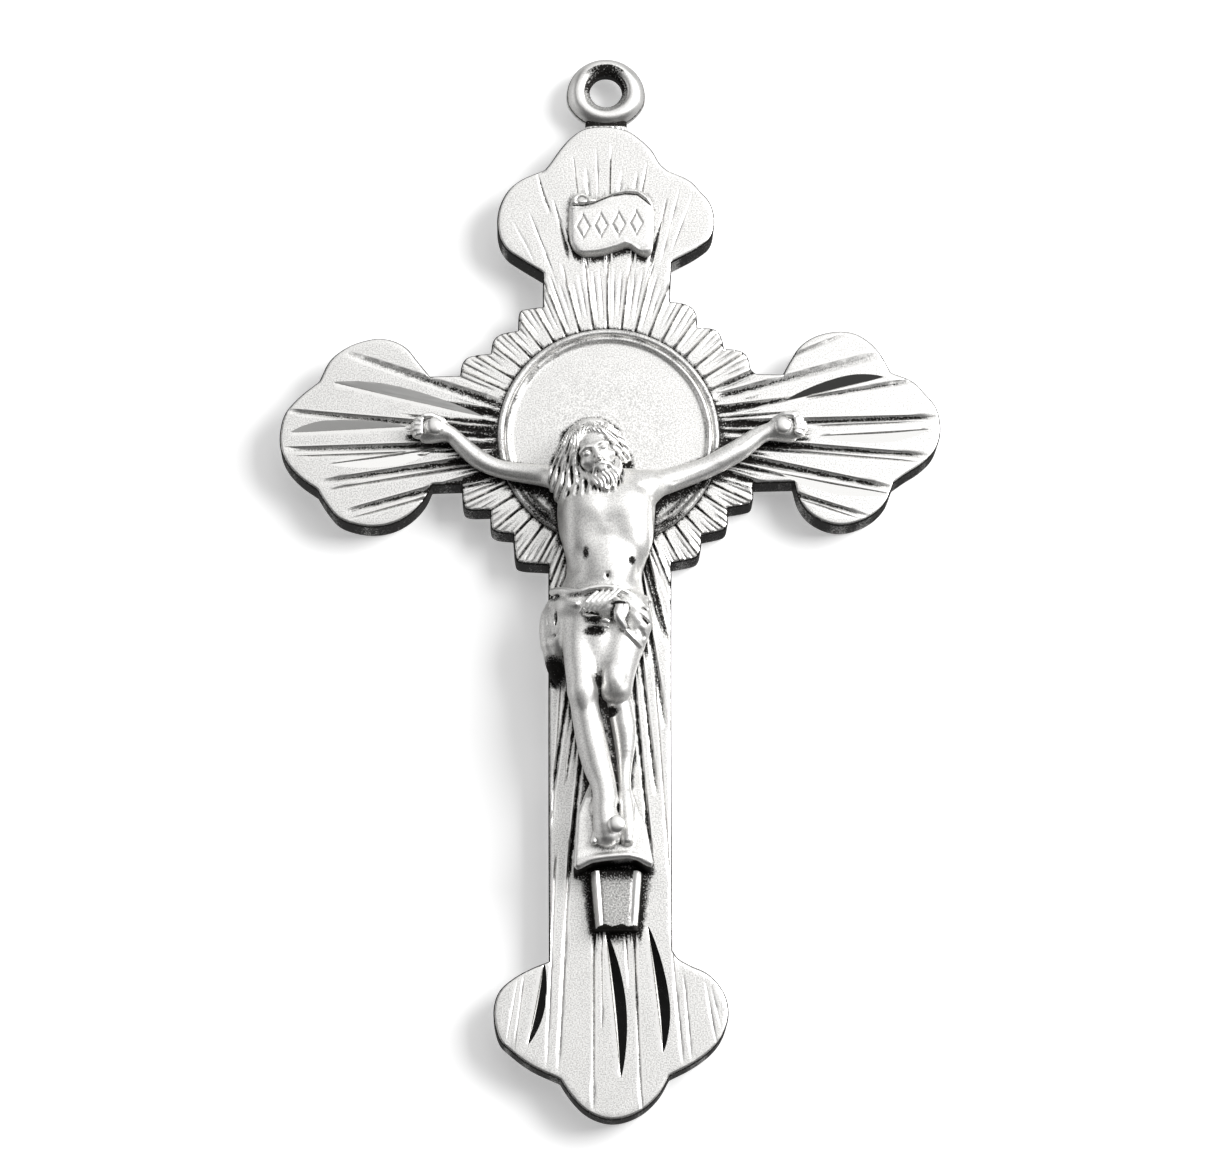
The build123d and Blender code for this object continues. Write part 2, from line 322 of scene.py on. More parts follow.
# ---------------------------------------------------------------------- corpus
BEHIND = -0.8  # y behind the flat back of everything modelled on the plate


class Clay:
    """A block of voxels holding distance to a modelled surface, negative inside."""

    def __init__(self, low, high, voxel):
        self.low = np.array(low, float)
        self.voxel = voxel
        self.shape = tuple(int(math.ceil((h - l) / voxel)) + 1 for l, h in zip(low, high))
        self.axes = [(l + voxel * np.arange(n)).astype(np.float32) for l, n in zip(self.low, self.shape)]
        self.field = np.full(self.shape, 1.0, np.float32)

    def region(self, low, high, margin):
        """The slices of the block between two corners, and its x, y and z there."""
        cut = []
        for a, l, h in zip(self.axes, low, high):
            i = max(0, int(np.searchsorted(a, l - margin)))
            j = min(len(a), int(np.searchsorted(a, h + margin)) + 1)
            cut.append(slice(i, max(i, j)))
        x, y, z = (self.axes[k][cut[k]] for k in range(3))
        return tuple(cut), x[:, None, None], y[None, :, None], z[None, None, :]

    def blend(self, cut, shape, k, mode):
        """Join a shape to the clay, or cut it away, with a fillet of about k."""
        here = self.field[cut]
        if mode == "add":
            h = np.maximum(k - np.abs(here - shape), 0) / k
            self.field[cut] = np.minimum(here, shape) - h * h * k * 0.25
        else:
            h = np.maximum(k - np.abs(here + shape), 0) / k
            self.field[cut] = np.maximum(here, -shape) + h * h * k * 0.25

    def rod(self, a, b, ra, rb, k=0.15, mode="add"):
        self.path([a, b], [ra, rb], k, mode)

    def path(self, points, radii, k=0.15, mode="add"):
        """Tapered rods run together along a smooth line of points, with a radius at each."""
        pts = np.array(points, float)
        rad = np.interp(np.linspace(0, 1, len(pts)), np.linspace(0, 1, len(radii)), radii)
        if len(pts) > 2:
            data = catmull(np.column_stack([pts, rad]), 0.3)
            pts, rad = data[:, :3], data[:, 3]
        cut, x, y, z = self.region(pts.min(0) - rad.max(), pts.max(0) + rad.max(), k + 0.25)
        best = np.full(np.broadcast_shapes(x.shape, y.shape, z.shape), 9.0, np.float32)
        for p, q, r, s in zip(pts, pts[1:], rad, rad[1:]):
            d = q - p
            px, py, pz = x - p[0], y - p[1], z - p[2]
            t = np.clip((px * d[0] + py * d[1] + pz * d[2]) / (d @ d + 1e-9), 0, 1)
            off2 = (px - t * d[0]) ** 2 + (py - t * d[1]) ** 2 + (pz - t * d[2]) ** 2
            best = np.minimum(best, np.sqrt(off2) - (r + (s - r) * t))
        self.blend(cut, best.astype(np.float32), k, mode)

    def egg(self, centre, radii, k=0.15, mode="add", frame=None):
        """Ellipsoid, its axes along a frame of three unit vectors when one is given."""
        c, r = np.array(centre, float), np.array(radii, float)
        reach = np.full(3, r.max()) if frame is not None else r
        cut, x, y, z = self.region(c - reach, c + reach, k + 0.25)
        px, py, pz = x - c[0], y - c[1], z - c[2]
        if frame is not None:
            m = np.array(frame)
            px, py, pz = (px * m[i, 0] + py * m[i, 1] + pz * m[i, 2] for i in range(3))
        n = np.sqrt((px / r[0]) ** 2 + (py / r[1]) ** 2 + (pz / r[2]) ** 2)
        g = np.sqrt((px / r[0] ** 2) ** 2 + (py / r[1] ** 2) ** 2 + (pz / r[2] ** 2) ** 2) + 1e-6
        self.blend(cut, np.clip(n * (n - 1) / g, -1, 1).astype(np.float32), k, mode)

    def torso(self, rows, k=0.2, power=2.4):
        """Stack of rounded sections on the flat back: each row is z, left, right, front y."""
        rows = np.array(rows, float)
        rows = rows[np.argsort(rows[:, 0])]
        zs = rows[:, 0]
        cut, x, y, z = self.region((rows[:, 1].min(), rows[:, 3].min(), zs[0]), (rows[:, 2].max(), BEHIND,
            zs[-1]), 0.4)
        soft = catmull(rows, 0.05)
        soft = soft[np.argsort(soft[:, 0])]
        left, right, front = (np.interp(z, soft[:, 0], soft[:, i]) for i in (1, 2, 3))
        mid, half, deep = (left + right) / 2, (right - left) / 2, FRONT - front
        px = np.abs(x - mid) / half
        py = np.abs(np.minimum(y - FRONT, 0)) / deep
        n = (px**power + py**power) ** (1 / power)
        d = (n - 1) * np.minimum(half, deep)
        caps = np.maximum(zs[0] - z, z - zs[-1])
        self.blend(cut, np.clip(np.maximum(d, caps), -1, 1).astype(np.float32), k, "add")

    def slab(self, polygon, fronts, k=0.12, edge=0.12):
        """Block on the plate with the given outline (x, z); fronts are (z, y) pairs for its sloping face."""
        poly = np.array(polygon, float)
        lo, hi = poly.min(0), poly.max(0)
        cut, x, y, z = self.region((lo[0], min(f[1] for f in fronts), lo[1]), (hi[0], BEHIND, hi[1]), 0.4)
        px, pz = np.broadcast_arrays(x[:, 0, 0][:, None], z[0, 0][None, :])
        pts = np.column_stack([px.ravel(), pz.ravel()])
        d2 = loop_distance(pts, poly) * np.where(inside(pts, poly), -1, 1)
        d2 = d2.reshape(px.shape).astype(np.float32)[:, None, :] + edge
        f = np.array(sorted(fronts))
        face = (np.interp(z, f[:, 0], f[:, 1]) - y) + edge
        beyond = np.sqrt(np.maximum(d2, 0) ** 2 + np.maximum(face, 0) ** 2)
        d = np.minimum(np.maximum(d2, face), 0) + beyond - edge
        self.blend(cut, np.clip(d, -1, 1).astype(np.float32), k, "add")

    def ripple(self, low, high, wave, depth, ease=0.3):
        """Fine ridges where wave (a function of x, y, z) is high, fading at the region's sides."""
        cut, x, y, z = self.region(low, high, 0)
        fade = 1.0
        for v, l, h in ((x, low[0], high[0]), (y, low[1], high[1]), (z, low[2], high[2])):
            fade = fade * np.clip(np.minimum(v - l, h - v) / ease, 0, 1)
        self.field[cut] += (depth * wave(x, y, z) * fade).astype(np.float32)

    def skin(self):
        """Vertices and quads of the zero surface."""
        d = self.field
        solid = d < 0
        count = np.zeros(tuple(n - 1 for n in self.shape), np.int8)
        corners = [(i, j, k) for i in (0, 1) for j in (0, 1) for k in (0, 1)]
        for i, j, k in corners:
            count += solid[i : i + self.shape[0] - 1, j : j + self.shape[1] - 1,
                k : k + self.shape[2] - 1]
        active = (count > 0) & (count < 8)
        cells = np.argwhere(active)
        ids = -np.ones(active.shape, np.int32)
        ids[active] = np.arange(len(cells))
        values = {c: d[cells[:, 0] + c[0], cells[:, 1] + c[1], cells[:, 2] + c[2]] for c in corners}
        total, hits = np.zeros((len(cells), 3)), np.zeros(len(cells))
        for a in corners:
            for axis in range(3):
                if a[axis] == 0:
                    b = list(a)
                    b[axis] = 1
                    va, vb = values[a], values[tuple(b)]
                    crossing = (va < 0) != (vb < 0)
                    t = np.where(crossing, va / np.where(va == vb, 1, va - vb), 0)
                    point = np.tile(np.array(a, float), (len(cells), 1))
                    point[:, axis] += t
                    total += point * crossing[:, None]
                    hits += crossing
        verts = self.low + (cells + total / hits[:, None]) * self.voxel
        quads = []
        for axis in range(3):
            n = [slice(None)] * 3
            m = [slice(None)] * 3
            n[axis], m[axis] = slice(0, -1), slice(1, None)
            flip_in = solid[tuple(n)] & ~solid[tuple(m)]
            flip_out = ~solid[tuple(n)] & solid[tuple(m)]
            u, w = [a for a in range(3) if a != axis]
            for mask, turned in ((flip_in, False), (flip_out, True)):
                e = np.argwhere(mask)
                e = e[(e[:, u] > 0) & (e[:, w] > 0) & (e[:, u] < ids.shape[u]) & (e[:, w] < ids.shape[w])]
                four = []
                for du, dw in ((-1, -1), (0, -1), (0, 0), (-1, 0)):
                    c = e.copy()
                    c[:, u] += du
                    c[:, w] += dw
                    four.append(ids[c[:, 0], c[:, 1], c[:, 2]])
                q = np.stack(four, 1)
                if turned ^ (axis == 1):
                    q = q[:, ::-1]
                quads.append(q)
        return verts, np.vstack(quads)

    def hollows(self, points, reach):
        """How far each point sits in a hollow, from the average of the field about it."""
        f = np.clip(self.field, -0.6, 0.6)
        for axis in range(3):
            c = np.cumsum(f, axis=axis, dtype=np.float64)
            pad = [(0, 0)] * 3
            pad[axis] = (reach + 1, reach)
            c = np.pad(c, pad, mode="edge")
            hi = [slice(None)] * 3
            lo = [slice(None)] * 3
            hi[axis], lo[axis] = slice(2 * reach + 1, None), slice(0, -2 * reach - 1)
            f = ((c[tuple(hi)] - c[tuple(lo)]) / (2 * reach + 1)).astype(np.float32)
        g = np.clip(((points - self.low) / self.voxel), 0, np.array(self.shape) - 1.001)
        i = g.astype(int)
        t = g - i
        out = 0
        for a in (0, 1):
            for b in (0, 1):
                for c in (0, 1):
                    w = np.abs(1 - a - t[:, 0]) * np.abs(1 - b - t[:, 1]) * np.abs(1 - c - t[:, 2])
                    out = out + w * f[i[:, 0] + a, i[:, 1] + b, i[:, 2] + c]
        return out


VOXEL = 0.06
clay = Clay((-10.3, -5.0, -21.9), (10.2, -0.9, 1.7), VOXEL)

# trunk: chest, waist and hips; each row is z, left, right and front
clay.torso([(-1.9, -1.85, 1.75, -2.45), (-2.5, -2.28, 2.12, -2.98), (-3.2, -2.46, 2.22, -3.38),
    (-4.0, -2.5, 2.18, -3.6), (-4.9, -2.4, 2.12, -3.62), (-5.6, -2.2, 1.98, -3.52),
    (-6.3, -2.06, 1.72, -3.44), (-6.9, -2.08, 1.55, -3.38), (-7.5, -2.32, 1.58, -3.42),
    (-8.2, -2.6, 1.72, -3.5), (-9.2, -2.5, 1.85, -3.52), (-10.2, -2.35, 1.72, -3.42),
    (-10.9, -2.2, 1.5, -3.2)])
for side in (-1, 1):
    # breast muscle, flank and shoulder
    clay.egg((-0.08 + side * 0.95, -2.9, -3.85), (1.05, 0.74, 0.95), 0.7)
    clay.egg((-0.1 + side * 1.3, -2.66, -5.3), (0.75, 0.78, 1.2), 0.6)
    clay.egg((-0.1 + side * 2.02, -2.25, -2.85), (0.62, 0.78, 0.72), 0.45)
clay.egg((-0.1, -2.98, -6.75), (1.2, 0.6, 1.1), 0.5)
clay.rod((-1.13, -3.68, -6.06), (-1.2, -3.62, -6.5), 0.16, 0.12, 0.12, "cut")
clay.rod((1.0, -3.62, -6.52), (1.05, -3.58, -6.74), 0.17, 0.12, 0.12, "cut")
clay.egg((-0.14, -3.6, -7.42), (0.09, 0.16, 0.13), 0.1, "cut")
# collar bones and the hollow of the throat
clay.path([(-1.7, -2.92, -2.72), (-0.95, -3.22, -3.02), (-0.32, -3.32, -3.16)], [0.1, 0.1, 0.08], 0.25)
clay.path([(1.55, -2.92, -2.78), (0.85, -3.22, -3.06), (0.22, -3.32, -3.16)], [0.1, 0.1, 0.08], 0.25)

# arms
clay.path([(-1.75, -2.25, -2.6), (-2.35, -2.1, -2.36), (-3.0, -1.8, -2.14), (-3.84, -1.6, -1.98),
    (-4.65, -1.5, -1.84), (-5.45, -1.46, -1.63), (-6.19, -1.45, -1.25), (-6.85, -1.45, -0.71),
    (-7.58, -1.5, 0.0), (-8.05, -1.58, 0.28)],
    [0.74, 0.66, 0.54, 0.49, 0.45, 0.43, 0.46, 0.43, 0.37, 0.36], 0.3)
clay.path([(1.35, -2.25, -2.78), (1.95, -2.12, -2.66), (2.55, -1.88, -2.5), (3.44, -1.65, -2.18),
    (4.61, -1.54, -1.72), (5.46, -1.5, -1.27), (6.31, -1.5, -0.76), (7.2, -1.5, -0.12),
    (7.95, -1.58, 0.22)], [0.76, 0.7, 0.62, 0.55, 0.51, 0.53, 0.52, 0.44, 0.36], 0.3)
# hollows along the muscles of the arms
clay.path([(-3.3, -2.3, -2.45), (-4.4, -2.08, -2.16), (-5.4, -1.98, -1.95)], [0.05, 0.07, 0.05], 0.18,
    "cut")
clay.path([(3.1, -2.36, -2.62), (4.3, -2.16, -2.18), (5.3, -2.08, -1.7)], [0.05, 0.07, 0.05], 0.18, "cut")
clay.path([(-6.3, -1.95, -0.98), (-7.0, -1.92, -0.3), (-7.6, -1.92, 0.24)], [0.04, 0.05, 0.04], 0.14,
    "cut")
clay.path([(6.2, -2.05, -0.62), (6.9, -2.0, -0.12), (7.5, -1.94, 0.32)], [0.04, 0.05, 0.04], 0.14, "cut")


def hand(s, name):
    """Palm pinned in the middle, thumb across it and fingers curled over at the far end."""
    nail_x, _, nail_z = sum(NAILS[name]) / 2
    cx, cz = nail_x + 0.12 * s, nail_z
    clay.egg((cx, -1.5, cz), (0.76, 0.52, 0.64), 0.2)
    clay.rod((cx - s * 0.55, -1.45, cz - 0.26), (cx + s * 0.3, -1.45, cz - 0.34), 0.34, 0.34, 0.18)
    clay.rod((cx - s * 0.35, -1.45, cz + 0.3), (cx + s * 0.3, -1.45, cz + 0.36), 0.28, 0.3, 0.18)
    clay.path([(cx - s * 0.45, -1.74, cz + 0.34), (cx + s * 0.02, -1.92, cz + 0.56),
        (cx + s * 0.38, -1.98, cz + 0.52)], [0.19, 0.17, 0.15], 0.07)
    for dz, reach in ((0.36, 0.74), (0.12, 0.9), (-0.14, 0.92), (-0.38, 0.8)):
        tip = cx + s * reach
        clay.path([(cx + s * 0.3, -1.6, cz + dz * 0.9), (cx + s * 0.66, -1.66, cz + dz),
            (tip, -1.78, cz + dz), (tip - s * 0.1, -1.98, cz + dz * 0.96),
            (cx + s * 0.52, -2.04, cz + dz * 0.84)], [0.18, 0.17, 0.155, 0.15, 0.12], 0.05)
    clay.rod((nail_x, -2.3, nail_z), (nail_x, -2.06, nail_z), 0.42, 0.36, 0.1, "cut")
    clay.egg((nail_x, -1.8, nail_z), (0.3, 0.22, 0.3), 0.06)


hand(-1, "left_hand_nail")
hand(1, "right_hand_nail")

# legs: the thighs come forward to the knees, the shins fall back and cross at the ankles
clay.path([(0.7, -2.25, -8.8), (0.62, -2.38, -9.9), (0.42, -2.62, -10.9), (0.26, -2.95, -12.0),
    (0.2, -3.06, -12.75)], [1.06, 1.12, 1.04, 0.88, 0.8], 0.22)
clay.path([(0.38, -2.72, -13.35), (0.5, -2.62, -14.05), (0.6, -2.56, -14.6), (0.64, -2.48, -15.37),
    (0.62, -2.42, -16.27), (0.6, -2.55, -17.2), (0.66, -2.8, -18.2)],
    [0.58, 0.58, 0.58, 0.5, 0.37, 0.3, 0.34], 0.08)
clay.path([(-1.4, -2.3, -8.9), (-1.4, -2.48, -10.0), (-1.46, -2.78, -11.0), (-1.42, -3.1, -12.0),
    (-1.36, -3.22, -12.9)], [1.0, 0.94, 0.8, 0.74, 0.69], 0.3)
clay.egg((-0.55, -2.85, -10.9), (0.7, 0.72, 2.0), 0.35)
clay.path([(-1.34, -3.16, -12.95), (-1.26, -3.08, -13.6), (-1.08, -2.98, -14.6), (-0.88, -2.94, -15.6),
    (-0.66, -2.92, -16.5), (-0.42, -3.0, -17.3), (-0.26, -3.16, -18.1)],
    [0.68, 0.67, 0.7, 0.72, 0.68, 0.6, 0.54], 0.22)
# kneecaps, the hollows beside and below them, and the line between the thighs
clay.egg((0.12, -3.72, -12.3), (0.46, 0.26, 0.56), 0.25)
clay.egg((-1.38, -3.64, -12.95), (0.42, 0.22, 0.7), 0.35)
clay.egg((0.1, -4.08, -12.9), (0.16, 0.12, 0.26), 0.12, "cut")
clay.egg((-0.04, -3.34, -13.92), (0.42, 0.4, 0.2), 0.1, "cut")
clay.path([(-0.62, -3.84, -10.9), (-0.64, -3.92, -11.8), (-0.62, -3.92, -12.8)], [0.05, 0.07, 0.08], 0.16,
    "cut")

# foot rest, flaring towards its lip, and the crossed feet on it
clay.slab([(-1.05, -17.2), (-1.45, -18.25), (-1.66, -18.75), (-1.72, -19.8), (-1.8, -21.25),
    (-1.62, -21.42), (-1.25, -21.22), (-0.95, -21.08), (-0.4, -21.0), (0.78, -20.88), (1.22, -20.98),
    (1.55, -21.18), (1.82, -21.3), (1.93, -21.1), (1.62, -19.4), (1.08, -18.1), (0.78, -17.0)],
    [(-21.4, -3.02), (-20.9, -3.1), (-20.5, -3.04), (-19.0, -2.96), (-18.0, -2.8), (-17.2, -2.25),
    (-17.0, -1.95)], 0.12, 0.16)
clay.path([(-1.62, -2.92, -21.22), (-1.15, -3.0, -21.0), (-0.7, -3.06, -20.88), (0.8, -3.06, -20.76),
    (1.25, -3.0, -20.88), (1.72, -2.92, -21.12)], [0.1, 0.1, 0.11, 0.11, 0.1, 0.09], 0.2)
# lower foot shows beside the upper one
clay.path([(0.62, -2.72, -17.9), (0.68, -2.92, -18.6), (0.72, -3.0, -19.5), (0.7, -3.02, -20.0)],
    [0.34, 0.38, 0.4, 0.32], 0.1)
clay.path([(-0.36, -3.1, -17.9), (-0.34, -3.2, -18.6), (-0.28, -3.24, -19.3), (-0.24, -3.18, -19.8)],
    [0.52, 0.56, 0.64, 0.6], 0.16)
clay.egg((-0.5, -3.0, -18.45), (0.48, 0.42, 0.5), 0.2)
for k in range(5):
    tx = -0.86 + 0.27 * k
    big = 0.17 if k == 0 else 0.13
    clay.rod((tx * 0.9, -3.26, -19.75), (tx, -3.3, -20.22 + 0.05 * abs(k - 1.5)), big * 0.9, big, 0.05)
nail_x, _, nail_z = sum(NAILS["foot_nail"]) / 2
clay.rod((nail_x, -4.2, nail_z), (nail_x, -3.95, nail_z), 0.4, 0.3, 0.12, "cut")
clay.path([(-0.98, -3.14, -18.3), (-0.88, -3.12, -19.2), (-0.7, -3.1, -20.0)], [0.08, 0.1, 0.08], 0.1,
    "cut")

# loincloth: low cloth over the hips, gathered to a knot, with a hanging end on one hip
clay.path([(-2.7, -2.05, -7.9), (-2.25, -2.95, -8.02), (-1.55, -3.42, -8.2), (-0.98, -3.56, -8.06),
    (-0.22, -3.62, -7.98), (0.42, -3.6, -8.1), (1.05, -3.42, -8.34), (1.62, -2.75, -8.34),
    (1.86, -2.0, -8.3)], [0.2, 0.17, 0.13, 0.11, 0.11, 0.12, 0.14], 0.14)
clay.egg((-0.1, -3.2, -8.85), (1.25, 0.62, 0.74), 0.22)
clay.egg((-1.55, -2.75, -8.75), (1.05, 0.68, 0.75), 0.22)
clay.egg((1.05, -2.7, -8.85), (0.75, 0.7, 0.65), 0.22)
clay.path([(1.05, -3.05, -8.8), (1.28, -2.95, -9.5), (1.22, -2.9, -10.25)], [0.62, 0.7, 0.55], 0.22)
clay.path([(-2.72, -2.0, -8.45), (-2.3, -2.9, -8.58), (-1.62, -3.42, -8.78)], [0.22, 0.2, 0.14], 0.1)
for k in range(5):
    ax, az = 0.44 - 0.27 * k, -8.16 - 0.02 * k
    clay.path([(ax, -3.7, az), (ax - 0.52, -3.84, az - 0.52), (ax - 1.04 + 0.05 * k, -3.74, az - 1.02)],
        [0.07, 0.09, 0.07], 0.07)
# folds under the ribs, with deep gaps between them
clay.path([(-1.28, -3.52, -9.3), (-0.72, -3.82, -9.52), (-0.15, -3.96, -9.74)], [0.07, 0.11, 0.12], 0.05)
clay.path([(-1.02, -3.6, -9.8), (-0.62, -3.8, -9.96), (-0.12, -3.94, -10.02)], [0.06, 0.07, 0.07], 0.04)
clay.path([(-1.2, -4.02, -9.42), (-0.8, -4.08, -9.6), (-0.32, -4.12, -9.72)], [0.1, 0.14, 0.08], 0.05,
    "cut")
clay.path([(-1.3, -3.95, -9.7), (-1.02, -4.02, -10.02), (-0.72, -4.02, -10.24), (-0.05, -4.06, -10.16)],
          [0.08, 0.16, 0.16, 0.06], 0.05, "cut")
# the knot and its loop
clay.path([(0.28, -3.82, -8.68), (0.42, -3.98, -9.02), (0.3, -4.08, -9.4), (0.44, -4.0, -9.72),
    (0.62, -3.84, -9.98)], [0.16, 0.21, 0.23, 0.22, 0.18], 0.08)
clay.path([(0.62, -3.8, -8.72), (0.72, -3.88, -9.1), (0.62, -3.92, -9.5)], [0.13, 0.15, 0.12], 0.07)
clay.path([(0.12, -4.16, -8.9), (0.44, -4.24, -8.84), (0.78, -4.05, -8.8)], [0.06, 0.08, 0.06], 0.05,
    "cut")
clay.path([(0.1, -4.22, -9.02), (0.04, -4.26, -9.35), (0.08, -4.22, -9.7)], [0.06, 0.06, 0.05], 0.05,
    "cut")
clay.path([(0.52, -4.28, -9.1), (0.56, -4.3, -9.42)], [0.05, 0.05], 0.05, "cut")
# soft folds run from the knot over the other thigh
THIGH_FOLDS = (
    ((0.84, -8.72), (1.3, -8.86), (1.72, -9.05)),
    ((0.86, -9.06), (1.32, -9.32), (1.74, -9.7)),
    ((0.82, -9.42), (1.22, -9.86), (1.58, -10.35)),
    ((0.74, -9.86), (0.98, -10.28), (1.2, -10.62)),
)
for (ax, az), (bx, bz), (ex, ez) in THIGH_FOLDS:
    clay.path([(ax, -3.78, az), (bx, -3.74, bz), (ex, -3.3, ez)], [0.05, 0.07, 0.06], 0.14, "cut")
clay.path([(0.74, -3.6, -10.12), (1.1, -3.52, -10.5), (1.42, -3.2, -10.78)], [0.1, 0.11, 0.1], 0.08)
# hanging end
clay.path([(-2.75, -1.85, -8.5), (-2.9, -1.92, -9.1), (-2.92, -1.98, -9.8), (-2.9, -1.98, -10.45)],
    [0.3, 0.42, 0.46, 0.42], 0.1)
clay.path([(-2.86, -2.02, -10.45), (-2.78, -1.96, -10.85)], [0.44, 0.42], 0.08)
clay.path([(-2.72, -1.62, -10.9), (-2.58, -1.55, -11.5), (-2.42, -1.48, -12.0)], [0.46, 0.44, 0.34], 0.1)
clay.egg((-2.35, -2.05, -9.6), (0.62, 0.66, 1.35), 0.25)
clay.path([(-2.6, -2.66, -8.9), (-2.58, -2.62, -9.35), (-2.6, -2.52, -9.75)], [0.04, 0.06, 0.04], 0.08,
    "cut")
clay.path([(-2.62, -2.56, -10.1), (-2.84, -2.54, -10.42), (-3.1, -2.46, -10.68)], [0.05, 0.07, 0.05],
    0.05, "cut")
clay.path([(-3.02, -2.44, -8.95), (-2.96, -2.46, -9.5)], [0.05, 0.04], 0.1, "cut")

# head: its frame leans with the crown towards the left arm
UP = np.array((-0.36, 0.02, 0.932))
UP /= np.linalg.norm(UP)
AHEAD = np.array((0.02, -1.0, -0.1))
AHEAD -= UP * (AHEAD @ UP)
AHEAD /= np.linalg.norm(AHEAD)
ASIDE = np.cross(UP, AHEAD)
FRAME = (ASIDE, AHEAD, UP)
HEAD = np.array((-0.66, -2.62, -1.4))


def at(side, ahead, up):
    return HEAD + side * ASIDE + ahead * AHEAD + up * UP


clay.path([(-0.15, -2.2, -3.1), (-0.3, -2.4, -2.4), (-0.45, -2.45, -1.9)], [0.85, 0.78, 0.75], 0.25)
clay.egg(at(0, -0.1, 0.42), (1.16, 1.12, 1.12), 0.15, frame=FRAME)
clay.egg((-0.8, -1.6, -0.85), (1.35, 1.0, 1.3), 0.25)
clay.egg(at(0, 0.3, -0.3), (0.88, 0.98, 1.2), 0.25, frame=FRAME)
# brow, sockets, lids
clay.path([at(-0.68, 0.98, 0.18), at(-0.36, 1.22, 0.27), at(0, 1.22, 0.22), at(0.36, 1.22, 0.27),
    at(0.68, 0.98, 0.18)], [0.1, 0.12, 0.11, 0.12, 0.1], 0.16)
for s in (-1, 1):
    clay.egg(at(s * 0.42, 1.42, 0.02), (0.27, 0.25, 0.17), 0.12, "cut", FRAME)
    clay.egg(at(s * 0.42, 1.12, 0.01), (0.22, 0.15, 0.13), 0.03, frame=FRAME)
    clay.egg(at(s * 0.56, 0.92, -0.34), (0.3, 0.26, 0.24), 0.2, frame=FRAME)
# nose and lips
clay.path([at(0, 1.22, 0.16), at(0, 1.38, -0.18), at(0, 1.5, -0.44)], [0.09, 0.11, 0.14], 0.1)
for s in (-1, 1):
    clay.egg(at(s * 0.15, 1.34, -0.48), (0.11, 0.12, 0.09), 0.06, frame=FRAME)
clay.rod(at(-0.17, 1.24, -0.84), at(0.17, 1.24, -0.84), 0.09, 0.09, 0.08)
clay.rod(at(-0.13, 1.22, -0.98), at(0.13, 1.22, -0.98), 0.09, 0.09, 0.06)
clay.rod(at(-0.22, 1.38, -0.91), at(0.22, 1.38, -0.91), 0.035, 0.035, 0.05, "cut")
# moustache and short beard
for s in (-1, 1):
    clay.path([at(0.04 * s, 1.3, -0.68), at(s * 0.28, 1.22, -0.78), at(s * 0.46, 1.05, -1.02)],
        [0.09, 0.11, 0.09], 0.05)
    clay.path([at(s * 0.84, 0.42, -0.55), at(s * 0.74, 0.66, -0.98), at(s * 0.44, 0.9, -1.38),
        at(s * 0.16, 1.0, -1.9)], [0.16, 0.24, 0.28, 0.15], 0.12)
clay.egg(at(0, 0.86, -1.32), (0.48, 0.4, 0.44), 0.15, frame=FRAME)

# hair falls from a middle parting, over the ears, and on to one shoulder
for points, radii in (
    ([at(-0.08, 0.72, 1.22), at(-0.62, 0.74, 0.92), at(-0.96, 0.56, 0.42), at(-1.06, 0.42, -0.15),
      at(-1.1, 0.3, -0.75), at(-1.2, 0.2, -1.25)], [0.2, 0.26, 0.27, 0.27, 0.26, 0.18]),
    ([at(-0.22, 0.35, 1.38), at(-0.95, 0.35, 1.02), at(-1.36, 0.2, 0.45), at(-1.5, 0.05, -0.2),
      at(-1.56, -0.05, -0.85)],
     [0.26, 0.34, 0.36, 0.36, 0.28]),
    ([at(-0.4, 0.0, 1.35), at(-1.15, -0.05, 0.95), at(-1.66, -0.2, 0.35), at(-1.84, -0.3, -0.3),
      at(-1.88, -0.4, -0.8)],
     [0.3, 0.36, 0.34, 0.3, 0.2]),
    ([at(0.08, 0.72, 1.22), at(0.6, 0.72, 0.92), at(0.94, 0.54, 0.42), at(1.04, 0.38, -0.15),
      at(1.06, 0.22, -0.65)],
     [0.2, 0.26, 0.26, 0.24, 0.18]),
    ([at(0.25, 0.35, 1.36), at(0.92, 0.3, 0.98), at(1.26, 0.1, 0.4), at(1.36, -0.08, -0.2),
      at(1.34, -0.2, -0.6)],
     [0.26, 0.32, 0.32, 0.28, 0.2]),
    ([at(-1.2, 0.3, -1.0), (-1.52, -3.02, -2.6), (-1.34, -3.22, -3.02), (-1.16, -3.3, -3.38)],
     [0.28, 0.24, 0.2, 0.1]),
    ([at(-1.5, 0.0, -0.85), (-1.98, -2.82, -2.5), (-1.86, -3.02, -3.02), (-1.62, -3.18, -3.46)],
     [0.28, 0.24, 0.2, 0.1]),
    ([at(-1.8, -0.35, -0.65), (-2.36, -2.45, -2.25), (-2.34, -2.62, -2.66)], [0.24, 0.2, 0.1]),
):
    clay.path(points, radii, 0.1)
# low arc of the crown seen behind the hair
clay.path([(-1.95, -1.35, -0.1), (-1.55, -1.45, 0.26), (-0.9, -1.5, 0.52), (-0.25, -1.48, 0.44),
    (0.22, -1.38, 0.12)], [0.2, 0.26, 0.28, 0.26, 0.2], 0.12)


